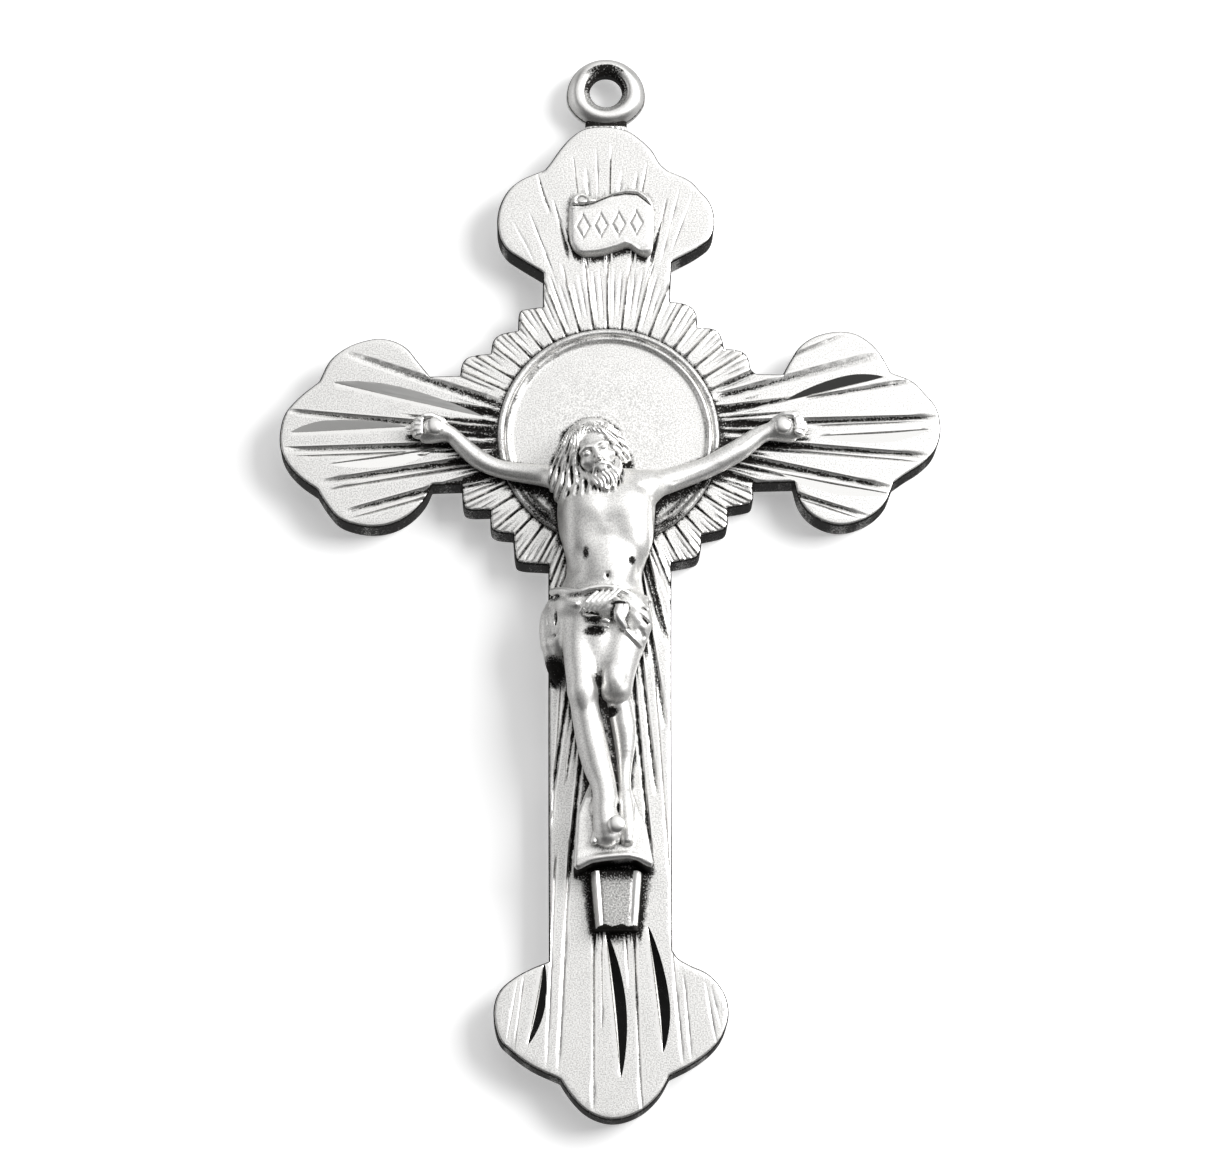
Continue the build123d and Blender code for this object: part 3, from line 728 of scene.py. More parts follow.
def strands(x, y, z):
    """Wavy lines that run down from the parting on either side of the face, and down the beard."""
    px, py, pz = x - HEAD[0], y - HEAD[1], z - HEAD[2]
    side = px * ASIDE[0] + py * ASIDE[1] + pz * ASIDE[2]
    up = px * UP[0] + py * UP[1] + pz * UP[2]
    # hair lies outside the oval of the face, and in the beard below the lips
    face = (side / 0.86) ** 2 + ((up + 0.2) / 1.14) ** 2
    lowest = np.where(side < -0.75, -1.95, -0.95)
    hair = np.clip((face - 1.0) * 3.0, 0, 1) * np.clip((up - lowest) * 4, 0, 1)
    beard = np.clip((-up - 1.04) * 5, 0, 1) * np.clip((up + 2.0) * 4, 0, 1)
    beard = beard * np.clip((0.85 - np.abs(side)) * 4, 0, 1)
    drop = 2.1 - up
    fan = np.arctan2(side, drop)
    reach = np.hypot(side, drop)
    wave = np.sin(2 * np.pi * fan / 0.105 + 0.9 * np.sin(reach * 3.6 + 2.0 * fan))
    lines = np.sin(2 * np.pi * (side + 0.08 * np.sin(up * 5)) / 0.19)
    return hair * (1 - beard) * wave + beard * lines


clay.ripple((-3.0, -4.6, -3.6), (1.6, -1.2, 0.5), strands, 0.05, 0.15)

# a flat back on the plate
clay.field[:] = np.maximum(clay.field, clay.axes[1][None, :, None] - UNDER)
footprint = (clay.field[:, : np.searchsorted(clay.axes[1], FRONT - 0.12), :] < 0).any(axis=1)
SPREAD = 1.4  # distances from the figure are known this far out


def spread(mask, steps):
    """Distance in voxels from a flat mask, up to a number of steps."""
    gap = np.where(mask, 0.0, steps).astype(np.float32)
    grown = mask.copy()
    for k in range(1, steps):
        wide = grown.copy()
        wide[1:] |= grown[:-1]
        wide[:-1] |= grown[1:]
        wide[:, 1:] |= grown[:, :-1]
        wide[:, :-1] |= grown[:, 1:]
        if k % 2:
            wide[1:, 1:] |= grown[:-1, :-1]
            wide[:-1, :-1] |= grown[1:, 1:]
            wide[1:, :-1] |= grown[:-1, 1:]
            wide[:-1, 1:] |= grown[1:, :-1]
        gap[wide & ~grown] = k
        grown = wide
    return gap


figure_gap = spread(footprint, int(SPREAD / VOXEL)) * VOXEL


def shade_gap(p):
    """Distance of each point of the face from the figure standing on it, up to SPREAD."""
    i = np.rint((p[:, 0] - clay.low[0]) / VOXEL).astype(int)
    k = np.rint((p[:, 1] - clay.low[2]) / VOXEL).astype(int)
    off = (i < 0) | (k < 0) | (i >= figure_gap.shape[0]) | (k >= figure_gap.shape[1])
    i, k = np.clip(i, 0, figure_gap.shape[0] - 1), np.clip(k, 0, figure_gap.shape[1] - 1)
    return np.where(off, SPREAD, figure_gap[i, k])


def thinned(verts, faces, ratio):
    """The same surface with fewer triangles where it is flat."""
    mesh = bpy.data.meshes.new("thinning")
    mesh.from_pydata(verts.tolist(), [], faces.tolist())
    obj = linked("thinning", mesh)
    obj.modifiers.new("fewer", "DECIMATE").ratio = ratio
    made = obj.evaluated_get(bpy.context.evaluated_depsgraph_get()).to_mesh()
    out = np.empty(len(made.vertices) * 3, np.float32)
    made.vertices.foreach_get("co", out)
    polys = [list(p.vertices) for p in made.polygons]
    obj.to_mesh_clear()
    bpy.data.objects.remove(obj)
    bpy.data.meshes.remove(mesh)
    return out.reshape(-1, 3).astype(float), polys


# places painted black, as oxide in gaps and creases and as painted shade under the knee: (x, z), half sizes
# and blackness
BLACK_SPOTS = (
    # gaps under the gathers of the cloth, and the end of its knot
    ((-0.78, -9.58), (0.46, 0.13), 0.85), ((-0.76, -10.12), (0.5, 0.22), 0.9),
    ((0.4, -8.84), (0.42, 0.09), 0.9), ((0.05, -9.36), (0.09, 0.36), 0.7),
    # the rolled edge and the creases of the cloth
    ((-1.66, -8.34), (0.48, 0.14), 0.5), ((-2.6, -8.34), (0.24, 0.16), 0.6),
    ((-2.62, -9.25), (0.05, 0.3), 0.6),
    # two dents below the ribs
    ((-1.16, -6.28), (0.14, 0.3), 0.8), ((1.03, -6.64), (0.17, 0.2), 0.85),
    # under the knee, black as oxide in its hollow and as painted shade where the knee overhangs the shin; the
    # line between the thighs and a dimple on the knee
    ((-0.08, -13.9), (0.36, 0.24), 1.0), ((-0.64, -12.1), (0.05, 0.8), 0.4),
    ((0.1, -12.92), (0.15, 0.22), 0.35),
)
# painted shade on the underside of the cloth's hanging end, which faces down to the plate
HANGING_END_SHADE = ((-2.7, -11.74), (0.62, 0.66), 1.0)

skin, quads = clay.skin()
skin, faces = thinned(skin, quads, 0.66)
shallow, deep = clay.hollows(skin, 3), clay.hollows(skin, 7)
black = np.clip(-shallow / VOXEL * 1.3 - 0.16, 0, 1) + np.clip(-deep / VOXEL * 0.42 - 0.3, 0, 0.8)
# the figure's sides near the plate are black, as oxide where it meets the plate and as painted shade up its
# sides
black = np.maximum(black, np.clip(1.15 - (FRONT - skin[:, 1]) / 0.42, 0, 1))
for (x, z), (rx, rz), strength in (*BLACK_SPOTS, HANGING_END_SHADE):
    q = np.hypot((skin[:, 0] - x) / rx, (skin[:, 2] - z) / rz)
    spot = strength * np.clip((1.5 - q) / 0.9, 0, 1)
    if x == HANGING_END_SHADE[0][0]:
        # this one stays off the thigh in front of it
        spot[skin[:, 1] < -2.35] = 0
    black = np.maximum(black, spot)
# little black stays in the shallow hollows of the feet and their rest; the underside of the rest's lip is
# painted black as shade
black *= np.where((skin[:, 2] < -17.3) & (skin[:, 1] < -2.6), 0.45, 1.0)
black = np.where((skin[:, 2] < -20.95) & (skin[:, 1] > -2.86), 1.1, black)
shine = np.clip(shallow / VOXEL * 0.75 - 0.06, 0, 0.9) * np.clip(1 - 3 * black, 0, 1)
build("corpus_figure", skin, faces, np.clip(black, 0, 1.1) - shine, "corpus", [cast])

# ----------------------------------------------------------------- cross plate
# The outline runs clockwise from the left end of the upper lobe, in smooth runs that meet at corners.
# Each run is listed from just after the corner where the last one ended.
START = (-3.0, 13.44)
OUTLINE = (
    # upper lobe
    ((-2.76, 13.75), (-2.27, 14.46), (-1.78, 15.02), (-1.14, 15.48), (-0.07, 15.63), (1.01, 15.42),
     (1.64, 14.99), (2.22, 14.4), (2.6, 13.74), (2.99, 13.38)),
    # right lobe of the upper arm, and its neck
    ((4.05, 12.87), (4.53, 12.36), (5.01, 11.75), (5.22, 10.84), (5.04, 9.98), (4.41, 9.43),
     (3.12, 8.72)),
    ((3.02, 6.76),),
    # three steps of the sunburst
    ((3.7, 6.66), (4.08, 6.46), (4.27, 6.16), (4.34, 5.45)),
    ((5.04, 5.4), (5.33, 5.25), (5.52, 4.85), (5.61, 4.42)),
    ((6.33, 4.3), (6.62, 4.15), (6.81, 3.79), (6.88, 3.39), (7.14, 3.14)),
    # root and three lobes of the right arm
    ((8.44, 3.09),),
    ((8.79, 3.74), (9.29, 4.49), (10.02, 4.99), (11.09, 5.24), (11.96, 5.13), (12.68, 4.68),
     (13.15, 4.13), (13.66, 3.18)),
    ((14.72, 2.72), (15.29, 2.12), (15.76, 1.52), (15.98, 0.78), (15.96, -0.07), (15.66, -0.81),
     (15.07, -1.41), (14.24, -1.95), (13.7, -2.34)),
    ((13.3, -3.28), (12.66, -3.92), (11.84, -4.31), (11.07, -4.43), (10.31, -4.26), (9.54, -3.76),
     (9.12, -3.12), (8.89, -2.28)),
    # under the arm and down three steps
    ((6.92, -2.32),),
    ((6.91, -3.16), (6.81, -3.31), (6.52, -3.41), (5.71, -3.55)),
    ((5.67, -4.39), (5.55, -4.59), (5.31, -4.69), (4.44, -4.88)),
    ((4.34, -5.72), (4.19, -5.96), (3.86, -6.08), (2.97, -6.25)),
    # right side of the shaft
    ((2.9, -12.94), (2.83, -24.94)),
    # three lobes of the foot
    ((3.09, -25.32), (3.65, -25.66), (4.45, -26.04), (5.05, -26.66), (5.37, -27.33), (5.43, -28.18),
     (5.12, -29.07), (4.64, -29.68), (3.84, -30.29), (2.66, -30.9)),
    ((2.18, -31.74), (1.47, -32.44), (0.68, -32.83), (-0.07, -32.95), (-0.77, -32.8), (-1.42, -32.42),
     (-2.03, -31.76), (-2.49, -31.06)),
    ((-3.89, -30.39), (-4.83, -29.68), (-5.3, -29.21), (-5.57, -28.31), (-5.57, -27.51), (-5.29, -26.8),
     (-4.58, -26.19), (-3.88, -25.81), (-2.98, -25.44)),
    # left side of the shaft
    ((-2.97, -17.75), (-2.92, -6.33)),
    # three steps up to the left arm
    ((-4.19, -6.23), (-4.43, -6.13), (-4.52, -5.83), (-4.61, -4.8)),
    ((-5.38, -4.7), (-5.62, -4.55), (-5.69, -4.31), (-5.71, -3.62)),
    ((-6.67, -3.61), (-6.91, -3.51), (-7.01, -3.22), (-7.08, -2.33)),
    ((-8.49, -2.37),),
    # three lobes of the left arm
    ((-8.83, -3.06), (-9.45, -3.75), (-10.26, -4.24), (-11.22, -4.44), (-12.18, -4.33), (-12.99, -3.99),
     (-13.62, -3.25), (-14.01, -2.6)),
    ((-14.82, -2.01), (-15.45, -1.31), (-15.77, -0.57), (-15.8, 0.32), (-15.56, 1.22), (-14.9, 2.01),
     (-13.94, 2.8)),
    ((-13.41, 3.85), (-12.69, 4.45), (-11.97, 4.77), (-11.05, 4.94), (-10.28, 4.79), (-9.7, 4.44),
     (-9.22, 3.84), (-8.59, 3.04)),
    # root of the arm and three steps
    ((-7.14, 3.08),),
    ((-7.05, 3.63), (-6.85, 3.93), (-6.57, 4.06), (-5.65, 4.18)),
    ((-5.55, 4.78), (-5.36, 5.03), (-5.07, 5.18), (-4.34, 5.33)),
    ((-4.29, 6.13), (-4.19, 6.33), (-3.95, 6.4), (-3.14, 6.52)),
    # neck and left lobe of the upper arm
    ((-3.12, 8.19),),
    ((-4.23, 8.89), (-4.86, 9.35), (-5.2, 9.9), (-5.34, 10.76), (-5.2, 11.62), (-4.8, 12.38),
     (-4.22, 12.89), (-3.0, 13.44)),
)
corner, runs = START, []
for run in OUTLINE:
    runs.append(catmull([corner, *run])[:-1])
    corner = run[-1]
outline = np.vstack(runs)

# title scroll: its wavy upper and lower edges, from left to right
SCROLL_TOP = catmull([(-1.88, 10.95), (-1.84, 11.45), (-1.66, 11.95), (-1.31, 12.2), (-0.92, 12.04),
    (-0.62, 11.84), (-0.1, 12.0), (0.64, 12.28), (1.27, 12.38), (1.85, 12.18), (2.18, 11.7),
    (2.27, 11.05)], 0.05)
SCROLL_LOW = catmull([(-1.86, 10.1), (-1.78, 9.62), (-1.55, 9.2), (-1.18, 8.98), (-0.36, 9.0),
    (0.37, 9.22), (1.0, 9.4), (1.44, 9.12), (1.82, 8.94), (2.12, 9.1), (2.26, 9.78)], 0.05)
scroll_outline = np.vstack([SCROLL_LOW, SCROLL_TOP[::-1]])

# grooves: ends on the face, half width, depth and blackness at either end; the lips are rubbed bright
RAYS = 50          # short rays round the halo
RAY_START = HALO_R - 0.05
LIP = 0.1
grooves = []


def groove(ends, widths, depths, blacks, lip=0.9, open_start=False):
    grooves.append((ends, widths, depths, blacks, lip, open_start))


def ray(angle, r0, r1):
    """Ends of a line that points away from the halo's centre."""
    c, s = math.cos(math.radians(angle)), math.sin(math.radians(angle))
    return (r0 * c, r0 * s, r1 * c, r1 * s)


for k in range(RAYS):
    turn = (90 + 360 / RAYS * k) % 360
    if min(abs(turn - 180), turn, 360 - turn) < 21:
        # the arms have grooves of their own
        continue
    # rays and scratches below the halo are painted blacker than those above, as shade
    lower = turn > 180
    reach = 10.5 if abs(turn - 270) < 24 else 9.0
    groove(ray(turn, RAY_START, reach), (0.075, 0.1), (0.15, 0.1), (0.9, 0.48) if lower else (0.66, 0.36),
        0.9, True)
    # a black notch where each ray meets the halo, and a scratch on either side
    groove(ray(turn, RAY_START, RAY_START + 0.5), (0.19, 0.04), (0.24, 0.12), (1.0, 1.0), 0.0, True)
    for side, start in ((-2.35, 0.3), (2.45, 0.55)):
        start += RAY_START + 0.2 * ((k * 7) % 3)
        end = reach - 0.4 - 0.3 * (k % 3)
        faint = (0.45, 0.22) if lower else (0.34, 0.16)
        groove(ray(turn + side, start, end), (0.07, 0.09), (0.06, 0.04), faint, 0.5)

# the single grooves: ends, then half width, depth and blackness at either end
GROOVES = (
    # upper arm and upper lobes
    (-0.99, 8.52, -1.63, 14.15, 0.1, 0.06, 0.12, 0.05, 0.75, 0.35),
    (0.07, 8.52, 0.22, 14.72, 0.1, 0.07, 0.12, 0.07, 0.75, 0.8),
    (1.15, 8.52, 1.97, 13.82, 0.1, 0.07, 0.12, 0.06, 0.75, 0.4),
    (-1.81, 8.74, -2.6, 11.92, 0.12, 0.08, 0.13, 0.06, 0.75, 0.45),
    (2.07, 8.52, 2.95, 12.02, 0.12, 0.08, 0.13, 0.06, 0.7, 0.35),
    (2.55, 8.62, 3.56, 12.52, 0.08, 0.06, 0.07, 0.04, 0.45, 0.2),
    (-2.75, 11.12, -3.46, 13.47, 0.12, 0.06, 0.12, 0.04, 0.8, 0.6),
    (-2.6, 8.12, -3.8, 11.32, 0.08, 0.06, 0.05, 0.03, 0.22, 0.15),
    (-3.45, 8.62, -4.75, 11.22, 0.08, 0.06, 0.05, 0.03, 0.2, 0.12),
    (-0.42, 12.02, -0.5, 14.62, 0.07, 0.05, 0.06, 0.04, 0.35, 0.2),
    (0.62, 12.02, 0.75, 13.42, 0.13, 0.09, 0.08, 0.04, 0.45, 0.2),
    (1.35, 12.02, 1.5, 13.32, 0.11, 0.09, 0.08, 0.04, 0.45, 0.2),
    (-0.85, 12.02, -1.0, 13.52, 0.13, 0.09, 0.08, 0.04, 0.45, 0.2),
    (3.1, 9.22, 4.2, 12.22, 0.07, 0.06, 0.04, 0.03, 0.2, 0.12),
    # left arm
    (-5.1, 1.58, -12.75, 4.22, 0.22, 0.2, 0.15, 0.05, 1.0, 0.28),
    (-5.2, 1.07, -13.0, 2.82, 0.2, 0.08, 0.18, 0.06, 1.05, 0.6),
    (-5.25, 0.66, -10.0, 1.12, 0.13, 0.06, 0.12, 0.05, 1.0, 0.7),
    (-5.3, 0.3, -15.6, 1.32, 0.17, 0.15, 0.18, 0.09, 1.05, 0.42),
    (-5.3, -0.02, -9.9, 0.37, 0.13, 0.08, 0.14, 0.06, 1.05, 0.9),
    (-5.3, -0.36, -15.6, -0.6, 0.17, 0.15, 0.18, 0.1, 1.05, 0.42),
    (-6.0, -0.66, -15.2, -0.95, 0.08, 0.05, 0.08, 0.04, 0.8, 0.18),
    (-5.25, -0.93, -13.85, -2.2, 0.19, 0.14, 0.18, 0.1, 1.05, 0.6),
    (-5.6, -1.3, -13.5, -2.58, 0.09, 0.06, 0.1, 0.05, 0.95, 0.3),
    (-5.1, -1.66, -12.7, -3.68, 0.2, 0.13, 0.17, 0.1, 1.05, 0.65),
    (-6.0, -2.23, -12.45, -4.03, 0.08, 0.05, 0.08, 0.05, 0.8, 0.3),
    (-5.6, 1.36, -10.6, 2.08, 0.08, 0.04, 0.08, 0.04, 0.8, 0.4),
    # right arm
    (5.2, 2.42, 11.5, 5.1, 0.12, 0.11, 0.12, 0.05, 0.9, 0.25),
    (5.1, 1.92, 13.2, 4.07, 0.15, 0.26, 0.14, 0.06, 0.95, 0.22),
    (5.2, 1.27, 9.0, 1.9, 0.2, 0.12, 0.18, 0.12, 1.05, 0.95),
    (9.4, 1.84, 14.8, 2.76, 0.08, 0.17, 0.06, 0.09, 0.6, 0.62),
    (5.25, 0.92, 9.2, 1.22, 0.08, 0.06, 0.1, 0.06, 0.8, 0.85),
    (5.3, 0.6, 15.95, 0.94, 0.18, 0.14, 0.18, 0.1, 1.05, 0.8),
    (5.3, 0.22, 9.8, 0.22, 0.13, 0.08, 0.16, 0.08, 1.05, 1.0),
    (9.7, 0.47, 15.3, 0.7, 0.06, 0.04, 0.04, 0.04, 0.25, 0.2),
    (5.3, -0.2, 15.4, -1.0, 0.18, 0.14, 0.18, 0.1, 1.05, 0.75),
    (6.0, -0.52, 15.0, -1.3, 0.08, 0.05, 0.08, 0.04, 0.7, 0.22),
    (5.25, -0.83, 13.7, -2.6, 0.19, 0.16, 0.18, 0.11, 1.05, 0.8),
    (5.3, -1.25, 9.2, -2.13, 0.13, 0.06, 0.14, 0.05, 1.0, 0.6),
    (5.2, -1.7, 12.5, -4.0, 0.17, 0.11, 0.15, 0.08, 1.0, 0.65),
    (9.0, -3.08, 11.9, -4.08, 0.07, 0.05, 0.05, 0.04, 0.35, 0.25),
    # shaft, right of the figure
    (1.55, -5.08, 2.82, -10.38, 0.2, 0.16, 0.17, 0.1, 1.05, 0.75),
    (1.25, -5.13, 2.62, -14.38, 0.13, 0.17, 0.16, 0.08, 1.05, 0.55),
    (0.9, -5.28, 2.14, -17.6, 0.12, 0.15, 0.16, 0.08, 1.0, 0.62),
    (0.55, -5.28, 1.86, -20.78, 0.12, 0.15, 0.16, 0.09, 1.0, 0.85),
    (1.95, -9.18, 2.74, -21.68, 0.06, 0.09, 0.07, 0.05, 0.5, 0.3),
    # shaft, left of the figure
    (-1.25, -7.18, -2.8, -17.6, 0.15, 0.12, 0.18, 0.06, 1.05, 0.75),
    (-1.55, -12.8, -2.2, -17.2, 0.16, 0.07, 0.12, 0.05, 0.9, 0.55),
    (-1.2, -13.2, -2.05, -21.6, 0.13, 0.13, 0.16, 0.1, 1.05, 0.95),
    (-2.2, -9.68, -2.82, -19.18, 0.07, 0.05, 0.07, 0.04, 0.4, 0.2),
    # foot of the shaft and lower lobes
    (-0.85, -23.98, -0.95, -32.53, 0.11, 0.1, 0.12, 0.06, 0.95, 0.34),
    (-0.5, -23.98, -0.5, -28.78, 0.06, 0.05, 0.06, 0.04, 0.8, 0.18),
    (1.02, -23.98, 1.32, -32.63, 0.11, 0.1, 0.12, 0.06, 0.95, 0.38),
    (0.66, -23.98, 0.74, -26.78, 0.06, 0.05, 0.06, 0.04, 0.8, 0.18),
    (-1.98, -20.18, -2.58, -30.68, 0.1, 0.12, 0.08, 0.05, 0.4, 0.16),
    (-2.62, -20.18, -3.12, -30.48, 0.07, 0.08, 0.06, 0.04, 0.24, 0.12),
    (2.75, -24.18, 3.28, -30.38, 0.07, 0.1, 0.06, 0.05, 0.24, 0.16),
    (3.35, -26.08, 3.68, -30.18, 0.06, 0.08, 0.05, 0.04, 0.2, 0.1),
    (4.33, -26.38, 4.88, -29.48, 0.06, 0.07, 0.04, 0.04, 0.25, 0.15),
    (4.63, -26.58, 5.1, -28.78, 0.06, 0.06, 0.04, 0.03, 0.2, 0.1),
    (-4.16, -26.08, -4.66, -29.78, 0.07, 0.06, 0.05, 0.04, 0.22, 0.15),
    (-4.44, -26.28, -5.02, -29.38, 0.07, 0.06, 0.05, 0.04, 0.22, 0.15),
)
for *ends, w0, w1, d0, d1, b0, b1 in GROOVES:
    # the grooves of the arms open out towards the halo
    w0 *= 1.35 if abs(ends[0]) > 5 and ends[1] > -3 else 1.0
    groove(ends, (w0, w1), (d0, d1), (b0, b1))

# bright cuts: ends of the deep edge, widest facet, which side it lies on, slope, where it is widest
CUTS = (
    ((-13.25, 2.74, -6.0, 1.0), 0.52, 1, 0.2, 0.4),
    ((-15.3, 0.26, -9.7, 0.54), 0.5, 1, 0.2, 0.33),
    ((-13.45, -1.34, -8.3, -0.58), 0.54, -1, 0.22, 0.6),
    ((8.5, 1.75, 13.3, 2.94), 0.5, 1, 0.34, 0.62),
    ((10.1, -0.01, 15.45, 0.3), 0.52, -1, 0.22, 0.6),
    ((8.3, -1.88, 13.5, -2.88), 0.5, -1, 0.22, 0.5),
    ((-3.2, -25.5, -3.98, -29.4), 0.44, 1, 0.36, 0.55),
    ((-0.3, -23.98, 0.36, -30.98), 0.6, 1, 0.36, 0.5),
    ((1.7, -23.8, 2.36, -29.78), 0.58, 1, 0.36, 0.6),
)
RETURN = 0.05  # width of the short slope back up from the deep edge
EDGE = 0.15    # radius of the rounded front edge
SEAT = disc_hi[1] - FRONT


def line_frame(ends):
    """Start, run and left-hand normal of a line on the face."""
    a, b = np.array(ends[:2]), np.array(ends[2:])
    u = (b - a) / np.linalg.norm(b - a)
    return a, b - a, np.array([-u[1], u[0]])


def along(ends, p):
    """Place along and across a line, for each point, and the line's length."""
    a, run, normal = line_frame(ends)
    length = np.linalg.norm(run)
    return (p - a) @ run / length**2, (p - a) @ normal, length


def cut_width(t, widest, peak):
    """Lens-shaped width along a bright cut."""
    u = np.where(t < peak, 0.5 * t / peak, 0.5 + 0.5 * (t - peak) / (1 - peak))
    return widest * np.sin(np.pi * np.clip(u, 0, 1)) ** 0.8


def in_facet(p, slack=0.0):
    """Whether each point lies on the mirror of a bright cut."""
    hit = np.zeros(len(p), bool)
    for ends, widest, side, slope, peak in CUTS:
        t, s, length = along(ends, p)
        w = cut_width(t, widest, peak)
        hit |= (t > 0.01) & (t < 0.99) & (s * side > -slack) & (s * side < w + slack) & (w > 0.03)
    return hit


def near(gap, reach):
    """1 at no distance, falling to 0 at the given reach."""
    return np.clip(1 - gap / reach, 0, 1)


def painted_shade_pools(p):
    """Painted shade and shadow on the face about the figure, the scroll and the bracket, as blackening."""
    x, z = p[:, 0], p[:, 1]
    # painted shadow falling just below the figure, about its arms
    shadow_below_figure = 0.8 * near(shade_gap(p + (0, 0.22)), 0.36) * (np.abs(z) < 6.5)
    # painted shade: the fans of rays beside the arms and below them are dark near the halo, and the face
    # below the halo is a little darker
    r = np.hypot(x, z)
    fan = (np.abs(z + 0.4) / (np.abs(x) + 1e-6) < 0.34) & (r > HALO_R + 0.1)
    shade_below_halo = np.clip((-0.15 - z / (r + 1e-6)) * 2.2, 0, 1) * (r > HALO_R)
    # painted shade round the scroll, with a dark shadow below it and a paler band of shade above it
    scroll = loop_distance(p, scroll_outline) * ~inside(p, scroll_outline)
    # painted shade beside the bracket, widening towards its top, and a painted shadow below it
    beside = np.abs(x - (bracket_lo[0] + bracket_hi[0]) / 2)
    level = (z > bracket_lo[2] - 0.25) & (z < bracket_hi[2] + 0.2)
    height = np.clip((z - bracket_lo[2]) / (bracket_hi[2] - bracket_lo[2]), 0, 1)
    below = near(bracket_lo[2] - z, 0.9) * (z < bracket_lo[2] + 0.1)
    return np.max([
        0.95 * near(shade_gap(p), 0.3),
        shadow_below_figure,
        0.62 * np.clip((8.3 - r) / 1.6, 0, 1) * fan,
        0.18 * np.clip((7.9 - r) / 1.4, 0, 1) * shade_below_halo,
        1.15 * near(scroll, 0.44) * (z < 10.0),
        0.36 * near(scroll, 0.9) * (z > 11.7),
        0.55 * near(scroll, 0.2),
        0.95 * near(beside - 1.18, 0.2 + 0.65 * height) * level,
        0.8 * below * (beside < 1.15),
    ], axis=0)


def groove_fields(p):
    """Depth below the face and tone for each point, from grooves, bright cuts and painted shade."""
    depth, dark, bright = np.zeros(len(p)), np.zeros(len(p)), np.zeros(len(p))
    for ends, (w0, w1), (d0, d1), (b0, b1), lip, open_start in grooves:
        t, s, length = along(ends, p)
        on = (t >= -1e-4) & (t <= 1 + 1e-4)
        t = np.clip(t, 0, 1)
        w = w0 + (w1 - w0) * t
        fade = np.clip((1 - t) * length / 0.8, 0, 1)
        if not open_start:
            fade = np.minimum(fade, np.clip(t * length / 0.5, 0, 1))
        core = near(np.abs(s), w) * on
        depth = np.maximum(depth, core * fade * (d0 + (d1 - d0) * t))
        dark = np.maximum(dark, np.minimum(1, core * 1.5) * (b0 + (b1 - b0) * t**0.7) * fade)
        bright = np.maximum(bright, lip * near(np.abs(np.abs(s) - w), LIP) * on * fade)
    tone = dark - bright * np.clip(1 - 4 * dark, 0, 1)
    # the painted shade and shadow darken the tone, less so on the rubbed lips
    painted_shade = painted_shade_pools(p)
    shaded_tone = np.maximum(tone, tone * (1 - painted_shade) + painted_shade * np.where(tone < -0.3, 0.35, 1))
    tone = np.where(painted_shade > 0.02, shaded_tone, tone)
    for ends, widest, side, slope, peak in CUTS:
        t, s, length = along(ends, p)
        w = cut_width(t, widest, peak) * ((t > 0) & (t < 1))
        q = s * side
        on = (w > 0.02) & (q > -0.003) & (q < w + 0.006)
        back = (w > 0.02) & (q <= -0.003) & (q > -RETURN - 0.003)
        rising = w * slope * np.clip(1 + q / RETURN, 0, 1)
        depth = np.where(on, np.clip(w - np.maximum(q, 0), 0, None) * slope,
            np.where(back, rising, depth))
        tone = np.where(on & (q < 0.01), 0.9, tone)
        rubbed = (w > 0.02) & (q <= -RETURN + 0.01) & (q > -RETURN - 0.12)
        tone = np.where(rubbed, np.minimum(tone, -0.8), tone)
    return depth, tone


